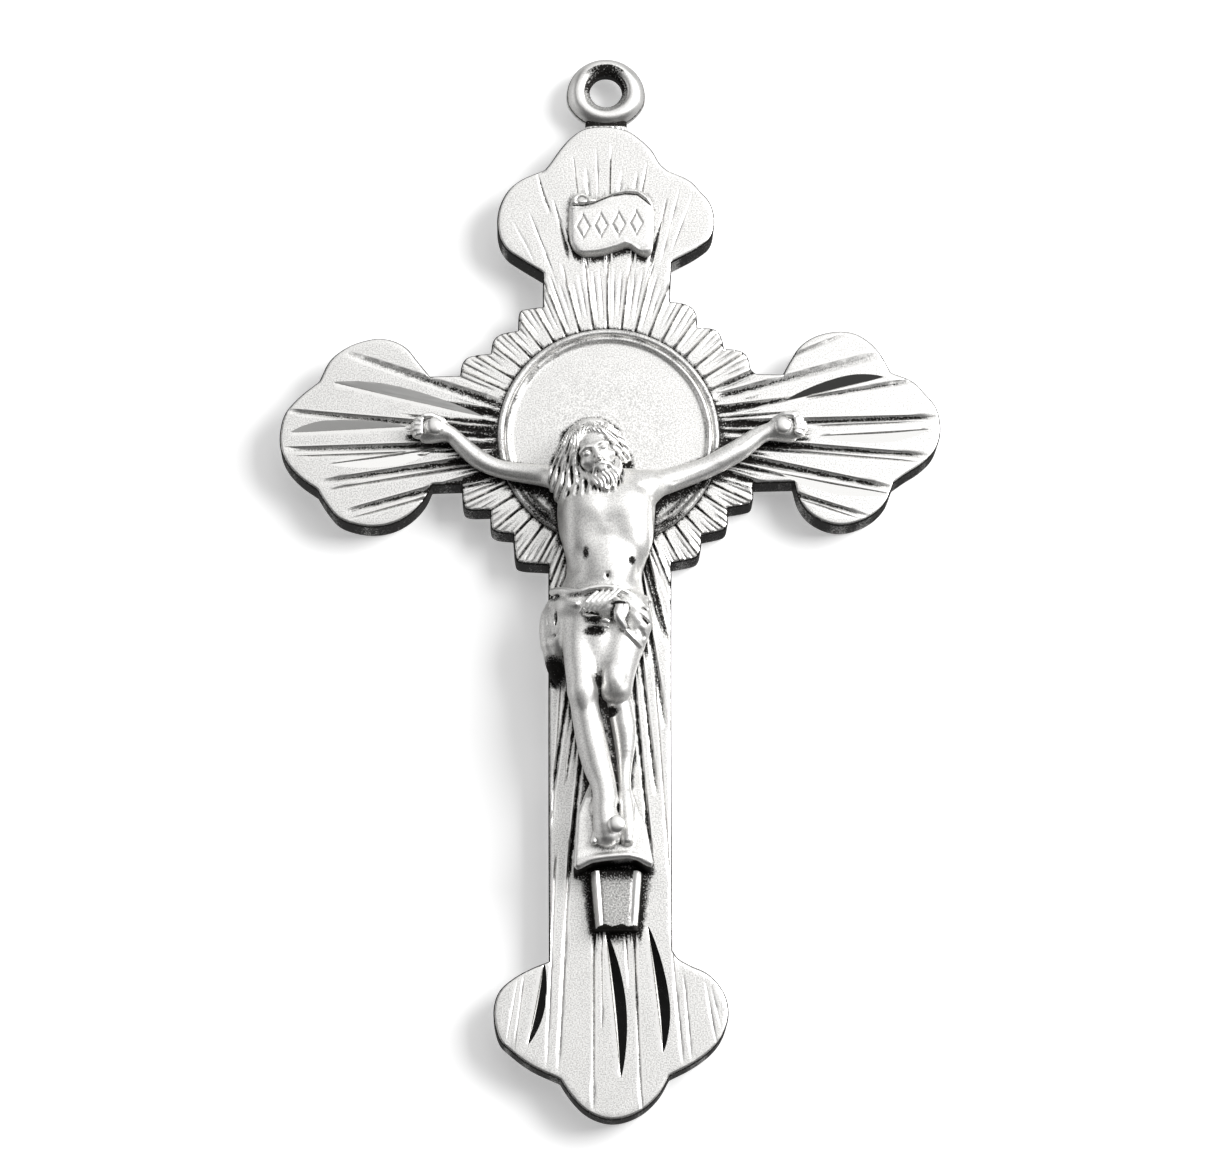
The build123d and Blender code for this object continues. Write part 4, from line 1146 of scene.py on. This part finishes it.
def plate_top():
    """Flat triangles of the face, with edges along every groove and cut."""
    points, edges = [], []

    def chain(pts, closed=False):
        start, n = len(points), len(pts)
        points.extend(map(tuple, pts))
        edges.extend((start + i, start + i + 1) for i in range(n - 1))
        if closed:
            edges.append((start + n - 1, start))

    chain(outline, True)
    # rings for the rounded edge, broken where they would fold at the corners
    inward = -inward_normals(outline)
    for d in (0.045, 0.09, EDGE):
        ring = outline + inward * d
        kept = loop_distance(ring, outline) > 0.97 * d
        run = []
        for point, good in zip(ring, [*kept[:-1], False]):
            if good:
                run.append(point)
                continue
            if len(run) > 1:
                chain(run)
            run = []
    turn = np.linspace(0, 2 * np.pi, 181)[:-1]
    circle = np.stack([np.cos(turn), np.sin(turn)], 1)
    for r in (HALO_R + 0.02, HALO_R + 0.005):
        chain(r * circle, True)
    for ends, (w0, w1), *_ in grooves:
        a, run, normal = line_frame(ends)
        steps = np.linspace(0, 1, max(3, int(np.linalg.norm(run) / 0.8)))
        for side, lip in ((-1, 0), (0, 0), (1, 0), (-1, LIP), (1, LIP)):
            chain([a + run * t + normal * side * (w0 + lip + (w1 - w0) * t) for t in steps])
    steps = np.linspace(0, 1, 41)
    for ends, widest, side, slope, peak in CUTS:
        a, run, normal = line_frame(ends)
        straight = 0 * steps
        for offset in (straight, cut_width(steps, widest, peak), straight - RETURN, straight - RETURN - 0.09):
            chain([a + run * t + normal * side * w for t, w in zip(steps, offset)])
    # scattered points keep the triangles even
    grid = scattered(outline, 0.26, EDGE + 0.05)
    grid = grid[np.hypot(grid[:, 0], grid[:, 1]) > HALO_R + 0.1]
    points.extend(map(tuple, grid[~in_facet(grid, 0.05)]))
    out = delaunay_2d_cdt([Vector(p) for p in points], edges, [], 1, 1e-5)
    flat = np.array([(v.x, v.y) for v in out[0]])
    tris = np.array([f for f in out[2] if len(f) == 3])
    tris = tris[inside(flat[tris].mean(1), outline)]
    a, b, c = flat[tris[:, 0]], flat[tris[:, 1]], flat[tris[:, 2]]
    area = (b[:, 0] - a[:, 0]) * (c[:, 1] - a[:, 1]) - (b[:, 1] - a[:, 1]) * (c[:, 0] - a[:, 0])
    tris, area = tris[np.abs(area) > 1e-9], area[np.abs(area) > 1e-9]
    tris[area < 0] = tris[area < 0][:, ::-1]
    used, numbered = np.unique(tris, return_inverse=True)
    return flat[used], numbered.reshape(-1, 3)


def boundary(tris):
    """The outer loop of vertices of a patch of triangles, in order."""
    half = np.vstack([tris[:, [0, 1]], tris[:, [1, 2]], tris[:, [2, 0]]]).tolist()
    seen = set(map(tuple, half))
    follow = {a: b for a, b in half if (b, a) not in seen}
    order = [next(iter(follow))]
    while follow[order[-1]] != order[0]:
        order.append(follow[order[-1]])
    return np.array(order)


def cross_plate():
    """The lobed plate: its cut face, its streaked walls and its plain back."""
    flat, tris = plate_top()
    depth, tone = groove_fields(flat)
    edge_gap = loop_distance(flat, outline)
    edge_gap[edge_gap < 1e-4] = 0
    rounding = EDGE - np.sqrt(np.clip(EDGE**2 - np.clip(EDGE - edge_gap, 0, EDGE) ** 2, 0, None))
    radial = np.hypot(flat[:, 0], flat[:, 1])
    depth = np.maximum(depth, rounding) + 0.35 * np.minimum(depth, rounding)
    depth = np.where(radial < HALO_R + 0.012, SEAT, depth)
    rubbed = 0.8 * near(np.abs(edge_gap - 0.09), 0.1)
    # the outermost band of the rounded edge is painted black as shade where it turns away, and a band just
    # inside it is rubbed bright
    tone = np.where(edge_gap < 0.075, 1.0, np.where(tone < 0.25, np.minimum(tone, -rubbed), tone))
    tone = np.where(radial < HALO_R + 0.1, np.maximum(tone, 0.75), tone)
    faces = tris.tolist()
    mirror = in_facet(flat[tris].mean(1)).astype(int).tolist()
    # walls go down in steps, streaked with black as oxide and painted shade, to a flat back: y, inset and
    # tone of each step
    order = boundary(tris)
    ring = flat[order]
    n = len(order)
    inward = inward_normals(ring)
    streak = 0.44 + 0.95 * hash_noise(ring, 2.4, 3)
    verts, tones, rows = [np.stack([flat[:, 0], FRONT + depth, flat[:, 1]], 1)], [tone], [order]
    levels = ((FRONT + EDGE + 0.06, 0.0, 1.0), (FRONT + 0.7, 0.0, 1.0), (FRONT + 1.3, 0.0, 0.95),
        (BACK - 0.16, 0.0, 0.85), (BACK - 0.09, 0.006, -0.2), (BACK - 0.03, 0.035, -0.6),
        (BACK, 0.11, 0.0), )
    count = len(flat)
    for y, inset, share in levels:
        pts = ring + inward * inset
        verts.append(np.stack([pts[:, 0], np.full(n, y), pts[:, 1]], 1))
        tones.append(streak * share if share > 0 else np.full(n, share))
        rows.append(np.arange(count, count + n))
        count += n
    for upper, lower in zip(rows, rows[1:]):
        faces.extend([upper[(i + 1) % n], upper[i], lower[i], lower[(i + 1) % n]] for i in range(n))
    # the back gets its own scattered points, with faint wear
    pts = [Vector(p) for p in np.vstack([pts, scattered(pts, 0.55, 0.3)])]
    back = delaunay_2d_cdt(pts, [(i, (i + 1) % n) for i in range(n)], [], 1, 1e-7)
    more = np.array([(v.x, v.y) for v in back[0][n:]])
    verts.append(np.stack([more[:, 0], np.full(len(more), BACK), more[:, 1]], 1))
    tones.append(0.22 * hash_noise(more, 0.9, 5) - 0.12)
    faces.extend([rows[-1][i] if i < n else count + i - n for i in f] for f in back[2])
    mirror += [0] * (len(faces) - len(mirror))
    verts, tones = np.vstack(verts), np.concatenate(tones)
    build("halo_cross_plate", verts, faces, tones, "cross_plate", [satin, cut], 32, mirror)


cross_plate()


# --------------------------------------------------------- turned and lofted bits
def lathe(profile, turns, centre=(0.0, 0.0)):
    """Vertices and faces of (radius, y) points turned about the y axis through centre (x, z)."""
    angle = np.arange(turns) * 2 * np.pi / turns
    verts, rows = [], []
    for r, y in profile:
        # a point on the axis is one vertex, and the faces that meet there are triangles
        count = turns if r > 1e-6 else 1
        rows.append([len(verts) + i % count for i in range(turns)])
        verts.extend((centre[0] + r * math.cos(a), y, centre[1] + r * math.sin(a)) for a in angle[:count])
    faces = []
    for a, b in zip(rows, rows[1:]):
        for i in range(turns):
            j = (i + 1) % turns
            faces.append(list(dict.fromkeys((a[i], a[j], b[j], b[i]))))
    return np.array(verts), faces


def refine(profile, step=0.08):
    """A profile with more points on its long runs, so that tones change smoothly along them."""
    profile = np.array(profile, float)
    out = [profile[:1]]
    for a, b in zip(profile, profile[1:]):
        n = max(1, int(np.hypot(*(b - a)) / step))
        out.append(a + (b - a) * np.linspace(0, 1, n + 1)[1:, None])
    return np.vstack(out)


def skirted(verts, tones, rows):
    """A grid of front vertices closed by walls painted black, as oxide and painted shade, and a flat
    underside on the plate.
    """
    faces = []
    for a, b in zip(rows, rows[1:]):
        faces.extend([a[i], a[i + 1], b[i + 1], b[i]] for i in range(len(a) - 1))
    rim = rows[0] + [r[-1] for r in rows[1:-1]] + rows[-1][::-1] + [r[0] for r in rows[-2:0:-1]]
    n = len(rim)
    base = list(range(len(verts), len(verts) + n))
    verts = verts + [(verts[i][0], UNDER, verts[i][2]) for i in rim]
    faces.extend([rim[(i + 1) % n], rim[i], base[i], base[(i + 1) % n]] for i in range(n))
    return verts, faces + [base[::-1]], tones + [1.0] * n


def bell(value, middle, width):
    """1 at the middle, falling smoothly to nothing about two widths away."""
    return np.exp(-(((value - middle) / width) ** 2))


# ------------------------------------------------------------------ halo disc
# radius and y, from the middle of the front over the rim's two rolls to the back
DISC = ((0, -1.03), (2.5, -1.02), (4.3, -1.0), (4.58, -1.0), (4.66, -1.01), (4.72, -1.05), (4.79, -1.11),
    (4.86, -1.13), (4.93, -1.115), (4.97, -1.07), (5.0, -1.03), (5.03, -1.07), (5.07, -1.13),
    (5.13, -1.165), (5.2, -1.175), (5.27, -1.155), (5.32, -1.1), (5.345, -1.03), (5.35, -0.96),
    (5.35, -0.61), (0, -0.6), )
RIM = (4.6, 5.33)  # radii the two rolls lie between
v, f = lathe(refine(DISC), 300)
turn, radius = np.arctan2(v[:, 2], v[:, 0]), np.hypot(v[:, 0], v[:, 2])
# the rolls are worn unevenly round the circle, and painted darker towards the bottom as shade
wear = 0.5 * hash_noise(np.stack([turn * 5.0, radius * 6.0], 1), 1.6, 11)
lower = np.clip(-np.sin(turn) * 1.6 - 0.2, 0, 1)
tone = np.where((radius > RIM[0]) & (radius < RIM[1]), wear + 0.25 * lower, 0)
# the painted shade and shadow about the figure fall on the disc too
painted_shade = painted_shade_pools(v[:, [0, 2]]) * (radius < 5.34)
tone = np.where(painted_shade > 0.02, np.maximum(tone, painted_shade), tone)
build("halo_disc_relief", v, f, np.clip(tone, 0, 1.1), "halo_disc", [satin], 50)

# --------------------------------------------------------------- hanging loop
EYE = -HALO[2]                          # height of the eye's centre
EYE_R = 0.8
OUTER = (loop_hi[0] - loop_lo[0]) / 2   # radius of the low-set outer circle
DROP = loop_hi[2] - EYE - OUTER
# the eye's wall and countersink are dark, as oxide and painted shade, and the dark line near the ring's outer
# front edge is painted shade
RING = (
    # share of the way from the eye to the outer edge, y and tone: from the back of the eye over the front
    (0.0, -0.1, 0.95), (0.0, -0.26, 0.95), (0.03, -0.36, 0.9), (0.16, -0.44, 0.55), (0.2, -0.5, 0.75),
    (0.24, -0.555, 0.25), (0.31, -0.615, 0.0), (0.4, -0.645, 0.0), (0.5, -0.65, 0.0), (0.6, -0.63, 0.0),
    (0.7, -0.575, 0.0), (0.79, -0.48, 0.0), (0.87, -0.35, 0.0), (0.925, -0.22, 0.1), (0.955, -0.14, 0.8),
    # round the outside and over the back
    (0.975, -0.09, 0.3), (1.0, 0.0, 0.0), (0.985, 0.14, 0.1), (0.93, 0.3, 0.2), (0.85, 0.44, 0.2),
    (0.72, 0.56, 0.2), (0.56, 0.635, 0.1), (0.4, 0.645, 0.1), (0.26, 0.58, 0.3), (0.16, 0.46, 0.6),
    (0.03, 0.36, 0.9), (0.0, 0.26, 0.95), (0.0, 0.1, 0.95),
)


def rolled(loops, size, closed):
    """Faces between successive loops of vertices of one size, numbered in order."""
    faces = []
    for k in range(loops if closed else loops - 1):
        for i in range(size):
            j, n = (i + 1) % size, (k + 1) % loops
            faces.append([k * size + i, k * size + j, n * size + j, n * size + i])
    return faces


def loop_mesh(turns=160):
    """Rounded ring whose outer edge is drawn down to a collar, with a countersunk eye."""
    verts, tones = [], []
    for k in range(turns):
        a = 2 * math.pi * k / turns
        c, s = math.cos(a), math.sin(a)
        reach = s * DROP + math.sqrt((s * DROP) ** 2 + OUTER**2 - DROP**2)
        if s < -0.3 and abs(c) > 1e-6:
            # straight cheeks under the circle, from (x0, z0) to (x1, z1)
            x0, z0, x1, z1 = 1.8, -0.78, 1.06, -1.8
            t = (z0 * abs(c) - x0 * s) / ((x1 - x0) * s - (z1 - z0) * abs(c))
            if 0 <= t <= 1:
                reach = max(reach, (x0 + (x1 - x0) * t) / abs(c))
        # the ring ends above the collar's groove
        reach -= 0.28 * max(0.0, -s - 0.35) / 0.65
        for f, y, d in RING:
            r = EYE_R + (reach - EYE_R) * f
            tone = d if d > 0.05 else -0.55
            if 0.16 <= f <= 0.5 and s > 0.45:
                # painted shade gathers in the countersink above the eye
                tone = max(tone, 0.85 * (s - 0.45) / 0.55)
            # painted light: the lower side of the eye's wall is lighter
            if d > 0.3 and s < 0 and f < 0.5:
                tone = d * (0.75 + 0.25 * s)
            verts.append((r * c, y, EYE + r * s))
            tones.append(tone)
    return verts, rolled(turns, len(RING), True), tones


# rounded sections of the collar: height under the eye, half width, half depth and tone
COLLAR = ((-1.2, 0.95, 0.3, 1.0), (-1.5, 1.0, 0.4, 1.0), (-1.74, 1.02, 0.44, 1.0),
    (-1.82, 1.03, 0.5, 0.8), (-1.87, 1.04, 0.56, 0.0), (-1.95, 1.05, 0.59, -0.7),
    (-2.04, 1.05, 0.59, -0.7), (-2.1, 1.04, 0.55, 0.5), (-2.16, 1.03, 0.47, 1.0),
    (-2.22, 1.02, 0.45, 1.0), )


def collar_mesh(segments=96, power=4.0):
    """Rounded block under the ring, with a band broken into low beads."""
    angle = np.arange(segments) * 2 * np.pi / segments + np.pi / 4
    c, s = np.cos(angle), np.sin(angle)
    r = (np.abs(c) ** power + np.abs(s) ** power) ** (-1 / power)
    verts = np.vstack([np.stack([r * c * w, r * s * h, np.full(segments, EYE + z)], 1) for z, w, h,
        _ in COLLAR])
    tones = np.repeat([d for *_, d in COLLAR], segments)
    last = len(verts) - segments
    faces = rolled(len(COLLAR), segments, False)
    faces += [list(range(segments))[::-1], list(range(last, len(verts)))]
    on_band = (np.abs(verts[:, 2] - (EYE - 1.98)) < 0.09) & (verts[:, 1] < 0)
    gap = on_band * (0.5 - 0.5 * np.cos(verts[:, 0] * 2 * np.pi / 0.27))
    verts[:, 1] += 0.1 * gap
    return verts, faces, tones + 0.75 * gap**2


v, f, tone = loop_mesh()
cv, cf, ct = collar_mesh()
f = f + [[len(v) + i for i in face] for face in cf]
build("hanging_loop_ring", np.vstack([v, cv]), f, np.concatenate([tone, ct]), "hanging_loop", [cast], 55)

# --------------------------------------------------------------- title scroll
# the crease under the rolled edge, and the fold above the lower edge
CREASE = ((-1.9, -1.2, -0.73, -0.34, 0.15, 0.88, 1.46, 1.84, 2.3),
          (11.5, 11.48, 11.57, 11.74, 11.95, 12.07, 12.03, 11.74, 11.3))
FOLD = ((-1.9, -1.47, -0.36, 0.37, 0.86, 1.2, 1.6, 2.3), (9.6, 9.27, 9.42, 9.62, 9.8, 9.57, 9.3, 9.6))


def scroll_mesh(nu=116, nv=92):
    """Wavy plaque with a rolled upper edge, a curl at its left and four plain lozenges."""
    x0, x1 = SCROLL_TOP[:, 0].min(), SCROLL_TOP[:, 0].max()
    u = np.linspace(0, 1, nu)
    # columns are closer together at the ends
    x = x0 + (x1 - x0) * (0.25 * (0.5 - 0.5 * np.cos(np.pi * u)) + 0.75 * u)
    top, low = np.interp(x, *SCROLL_TOP.T), np.interp(x, *SCROLL_LOW.T)
    crease, fold = np.interp(x, *CREASE), np.interp(x, *FOLD)
    side = np.minimum(x - x0, x1 - x)
    edge = np.minimum(1, side / 0.3)
    verts, tones, rows = [], [], []
    for w in np.linspace(0, 1, nv):
        z = low + (top - low) * w
        lower, upper = z - low, top - z
        h = 0.36 * (1 - np.exp(-np.maximum(side, 0.004) / 0.07)) * (1 - np.exp(-lower / 0.09))
        h *= 1 - np.exp(-(upper + 0.01) / 0.05)
        line = bell(z, crease, 0.045) * edge
        tuck = bell(z, 11.29 + 0.22 * (x + 1.56), 0.09) * bell(x, -1.1, 0.8)
        curl = bell(np.hypot(x + 1.22, (z - 11.72) * 1.15), 0.24, 0.06) * (x < -0.55)
        h += 0.05 + (0.08 * bell(z, crease + 0.16, 0.13) + 0.05 * bell(z, fold - 0.15, 0.13)) * edge
        h -= 0.1 * line + 0.05 * tuck + 0.06 * curl
        tone = np.max([0.85 * line, 0.3 * tuck, 0.55 * curl],
            axis=0) - 0.7 * bell(z, crease + 0.18, 0.1) * edge
        tone = np.maximum(tone, 0.16 * bell(z, fold, 0.16) * edge)
        # four plain lozenges, each set off by a fine cut line
        for k in range(4):
            q = np.abs(x + 1.18 - 0.86 * k) / 0.3 + np.abs(z - 10.42 - 0.06 * k) / 0.56
            cut_line = bell(q, 1, 0.17)
            h -= 0.06 * cut_line
            tone = np.where(cut_line > 0.15, np.maximum(tone, 0.38 * cut_line), tone)
            h += 0.03 * (q < 0.75)
            tone = np.where(q < 0.75, np.minimum(tone, -0.35), tone)
        rim = (lower < 0.05) | (side < 0.02) | (upper < 0.015)
        tone = np.where(rim, np.maximum(tone, 0.35), tone)
        rows.append(list(range(len(verts), len(verts) + nu)))
        verts.extend(zip(x, np.maximum(scroll_lo[1] + 0.004, FRONT - h), z))
        tones.extend(tone)
    return skirted(verts, tones, rows)


build("title_scroll_plaque", *scroll_mesh(), "title_scroll", [cast], 60)


# --------------------------------------------------------------- foot bracket
def bracket_mesh(nx=44, nz=72):
    """Tapered block standing off the shaft, with rubbed bevels down its sides."""
    middle = (bracket_lo[0] + bracket_hi[0]) / 2
    bottom, top = bracket_lo[2], bracket_hi[2]
    stand = FRONT - bracket_lo[1]
    s = np.linspace(-1, 1, nx)
    q = np.abs(s)
    bevel = np.maximum(0, (q - 0.74) / 0.26)
    verts, tones, rows = [], [], []
    for z in np.linspace(bottom, top, nz):
        t = (z - bottom) / (top - bottom)
        foot, face = 1.05 + 0.26 * t, 0.8 + 0.2 * t
        lip = z - bottom
        x = face * np.minimum(q / 0.74, 1) + (foot - face) * bevel
        h = (stand - 0.02) * (1 - bevel) ** 0.8 - 0.1 * max(0, 1 - lip / 0.12) ** 2
        h -= 0.05 * bell(q, 0.6, 0.05) * min(1, lip / 0.4)
        # the face is grey, painted darker near its top as shade under the foot rest
        tone = np.full(nx, 0.39 + 0.5 * max(0, t - 0.8) / 0.2)
        # the bevels are rubbed bright, painted less bright at the very top as shade
        tone[(q > 0.62) & (q <= 0.9)] = -0.85 + 0.8 * max(0, t - 0.92) / 0.08
        # the outer edges are black where they meet the plate, and the lower lip is painted black as shade
        tone[(q > 0.95) | (lip < 0.16 + 0.05 * np.sin(9 * s))] = 1.0
        rows.append(list(range(len(verts), len(verts) + nx)))
        verts.extend(zip(middle + np.copysign(x, s), FRONT - np.maximum(h, 0), np.full(nx, z)))
        tones.extend(tone)
    return skirted(verts, tones, rows)


build("foot_bracket_block", *bracket_mesh(), "foot_bracket", [cast], 35)

# ----------------------------------------------------------------------- nails
# domed head: share of its radius and depth below its top
HEAD_DOME = ((0, 0), (0.35, 0.008), (0.65, 0.035), (0.86, 0.08), (0.98, 0.135), (1, 0.16), (0.97, 0.18))
SHANK_R = 0.28
for name, (low, high) in NAILS.items():
    middle, radius = (low + high) / 2, (high[0] - low[0]) / 2
    profile = [(share * radius, low[1] + drop) for share, drop in HEAD_DOME]
    profile += [(SHANK_R, low[1] + 0.18), (SHANK_R, high[1] - 0.05), (0.22, high[1]), (0, high[1])]
    v, f = lathe(profile, 48, (middle[0], middle[2]))
    build(name + "_pin", v, f, np.zeros(len(v)), name, [pin], 50, slot="silver_polished")

# ----------------------------------------------------------------------- stage
PAPER_GLOW = 0.33  # the sheet's own light, which keeps it white
ROOM_BACK = 0.5    # grey of the room behind the sheet, as the back reflects it
ROOM_SEEN = 0.86   # grey of the room where the camera sees it
KEY_POWER = 0.65
KEY_SIZE = 130.0
KEY_PLACE, KEY_AIM = (165, -165, 55), (0, 0, -5)


def grey(level):
    return (level, level, level, 1)


# pale sheet the pendant lies against, seen only from the front
span, y = 400.0, BACK + 0.06
sheet_mesh = bpy.data.meshes.new("pale_sheet")
corners = in_frame([(-span, y, -span), (span, y, -span), (span, y, span), (-span, y, span)])
sheet_mesh.from_pydata(corners.tolist(), [], [(0, 1, 2, 3)])
sheet = linked("pale_sheet", sheet_mesh)
paper, n = new_material("paper")
white = n.new("BsdfPrincipled", (("Base Color", grey(0.9)), ("Roughness", 0.9), ("Emission Color",
    grey(1)), ("Emission Strength", PAPER_GLOW), ))
from_behind = n.new("NewGeometry").outputs["Backfacing"]
clear = n.new("BsdfTransparent")
sides = n.new("MixShader", ((0, from_behind), (1, white.outputs[0]), (2, clear.outputs[0])))
n.new("OutputMaterial", ((0, sides.outputs[0]),))
sheet_mesh.materials.append(paper)
sheet.visible_glossy = False

# surroundings: a tall soft box overhead and in front, dark strips beside it,
# a pale wall at each side and a dim room behind
world = bpy.data.worlds.new("studio")
bpy.context.scene.world = world
world.use_nodes = True
room = Nodes(world.node_tree)
split = room.new("SeparateXYZ", ((0, room.coord.outputs["Generated"]),))


def falloff(value, stops):
    """Piecewise value along an input that runs from -1 to 1."""
    ramp = room.new("ValToRGB", ((0, room.remap(value, -1.0, 1.0, 0.0, 1.0)),))
    elements = ramp.color_ramp.elements
    while len(elements) < len(stops):
        elements.new(0.5)
    for element, (place, level) in zip(elements, stops):
        element.position = place / 2 + 0.5
        element.color = grey(level)
    return ramp.outputs[0]


x, z = split.outputs["X"], split.outputs["Z"]
aside = room.calc("MAXIMUM", x, room.calc("MULTIPLY", x, -1.0))
tall = falloff(z, ((-1, 0.06), (-0.3, 0.05), (-0.05, 0.48), (0.1, 0.98), (0.5, 1.0), (1, 0.9)))
strip = falloff(aside, ((0, 1), (0.43, 1), (0.5, 0.01), (0.7, 0.01), (0.78, 0)))
wall = falloff(aside, ((0.72, 0), (0.8, 0.85), (1, 0.75)))
wall_low = falloff(z, ((-0.7, 0), (-0.2, 1)))
ahead = room.calc("ADD", room.calc("MULTIPLY", tall, strip), room.calc("MULTIPLY", wall, wall_low))
behind = room.remap(split.outputs["Y"], -0.05, 0.25, 0, 1)
level = room.mix(behind, ahead, grey(ROOM_BACK))
level = room.mix(room.new("LightPath").outputs["Is Camera Ray"], level, grey(ROOM_SEEN))
light = room.new("Background", (("Color", level), ("Strength", 1.0)))
room.new("OutputWorld", ((0, light.outputs[0]),))

key_light = bpy.data.lights.new("key", "AREA")
key_light.shape = "RECTANGLE"
key_light.size = key_light.size_y = KEY_SIZE / MM
key_light.energy = KEY_POWER
key = linked("key", key_light)
key.location = in_frame(KEY_PLACE)
key.rotation_euler = (Vector(in_frame(KEY_AIM)) - key.location).to_track_quat("-Z", "Y").to_euler()
bpy.context.scene.view_settings.view_transform = "Standard"
bpy.context.scene.view_settings.look = "None"

# ---------------------------------------------------------------------- camera
CAMERA_PLACE = (-4.318, -243.846, -62.008)
CAMERA_TURN = (102.7003, 0.4011, -0.9096)  # degrees about x, y and z
lens = bpy.data.cameras.new("camera")
lens.lens = 154.17
lens.sensor_width = 36.0
lens.sensor_fit = "HORIZONTAL"
lens.clip_start, lens.clip_end = 0.01, 10.0
camera = linked("camera", lens)
camera.location = in_frame(CAMERA_PLACE)
camera.rotation_euler = [math.radians(a) for a in CAMERA_TURN]
bpy.context.scene.camera = camera
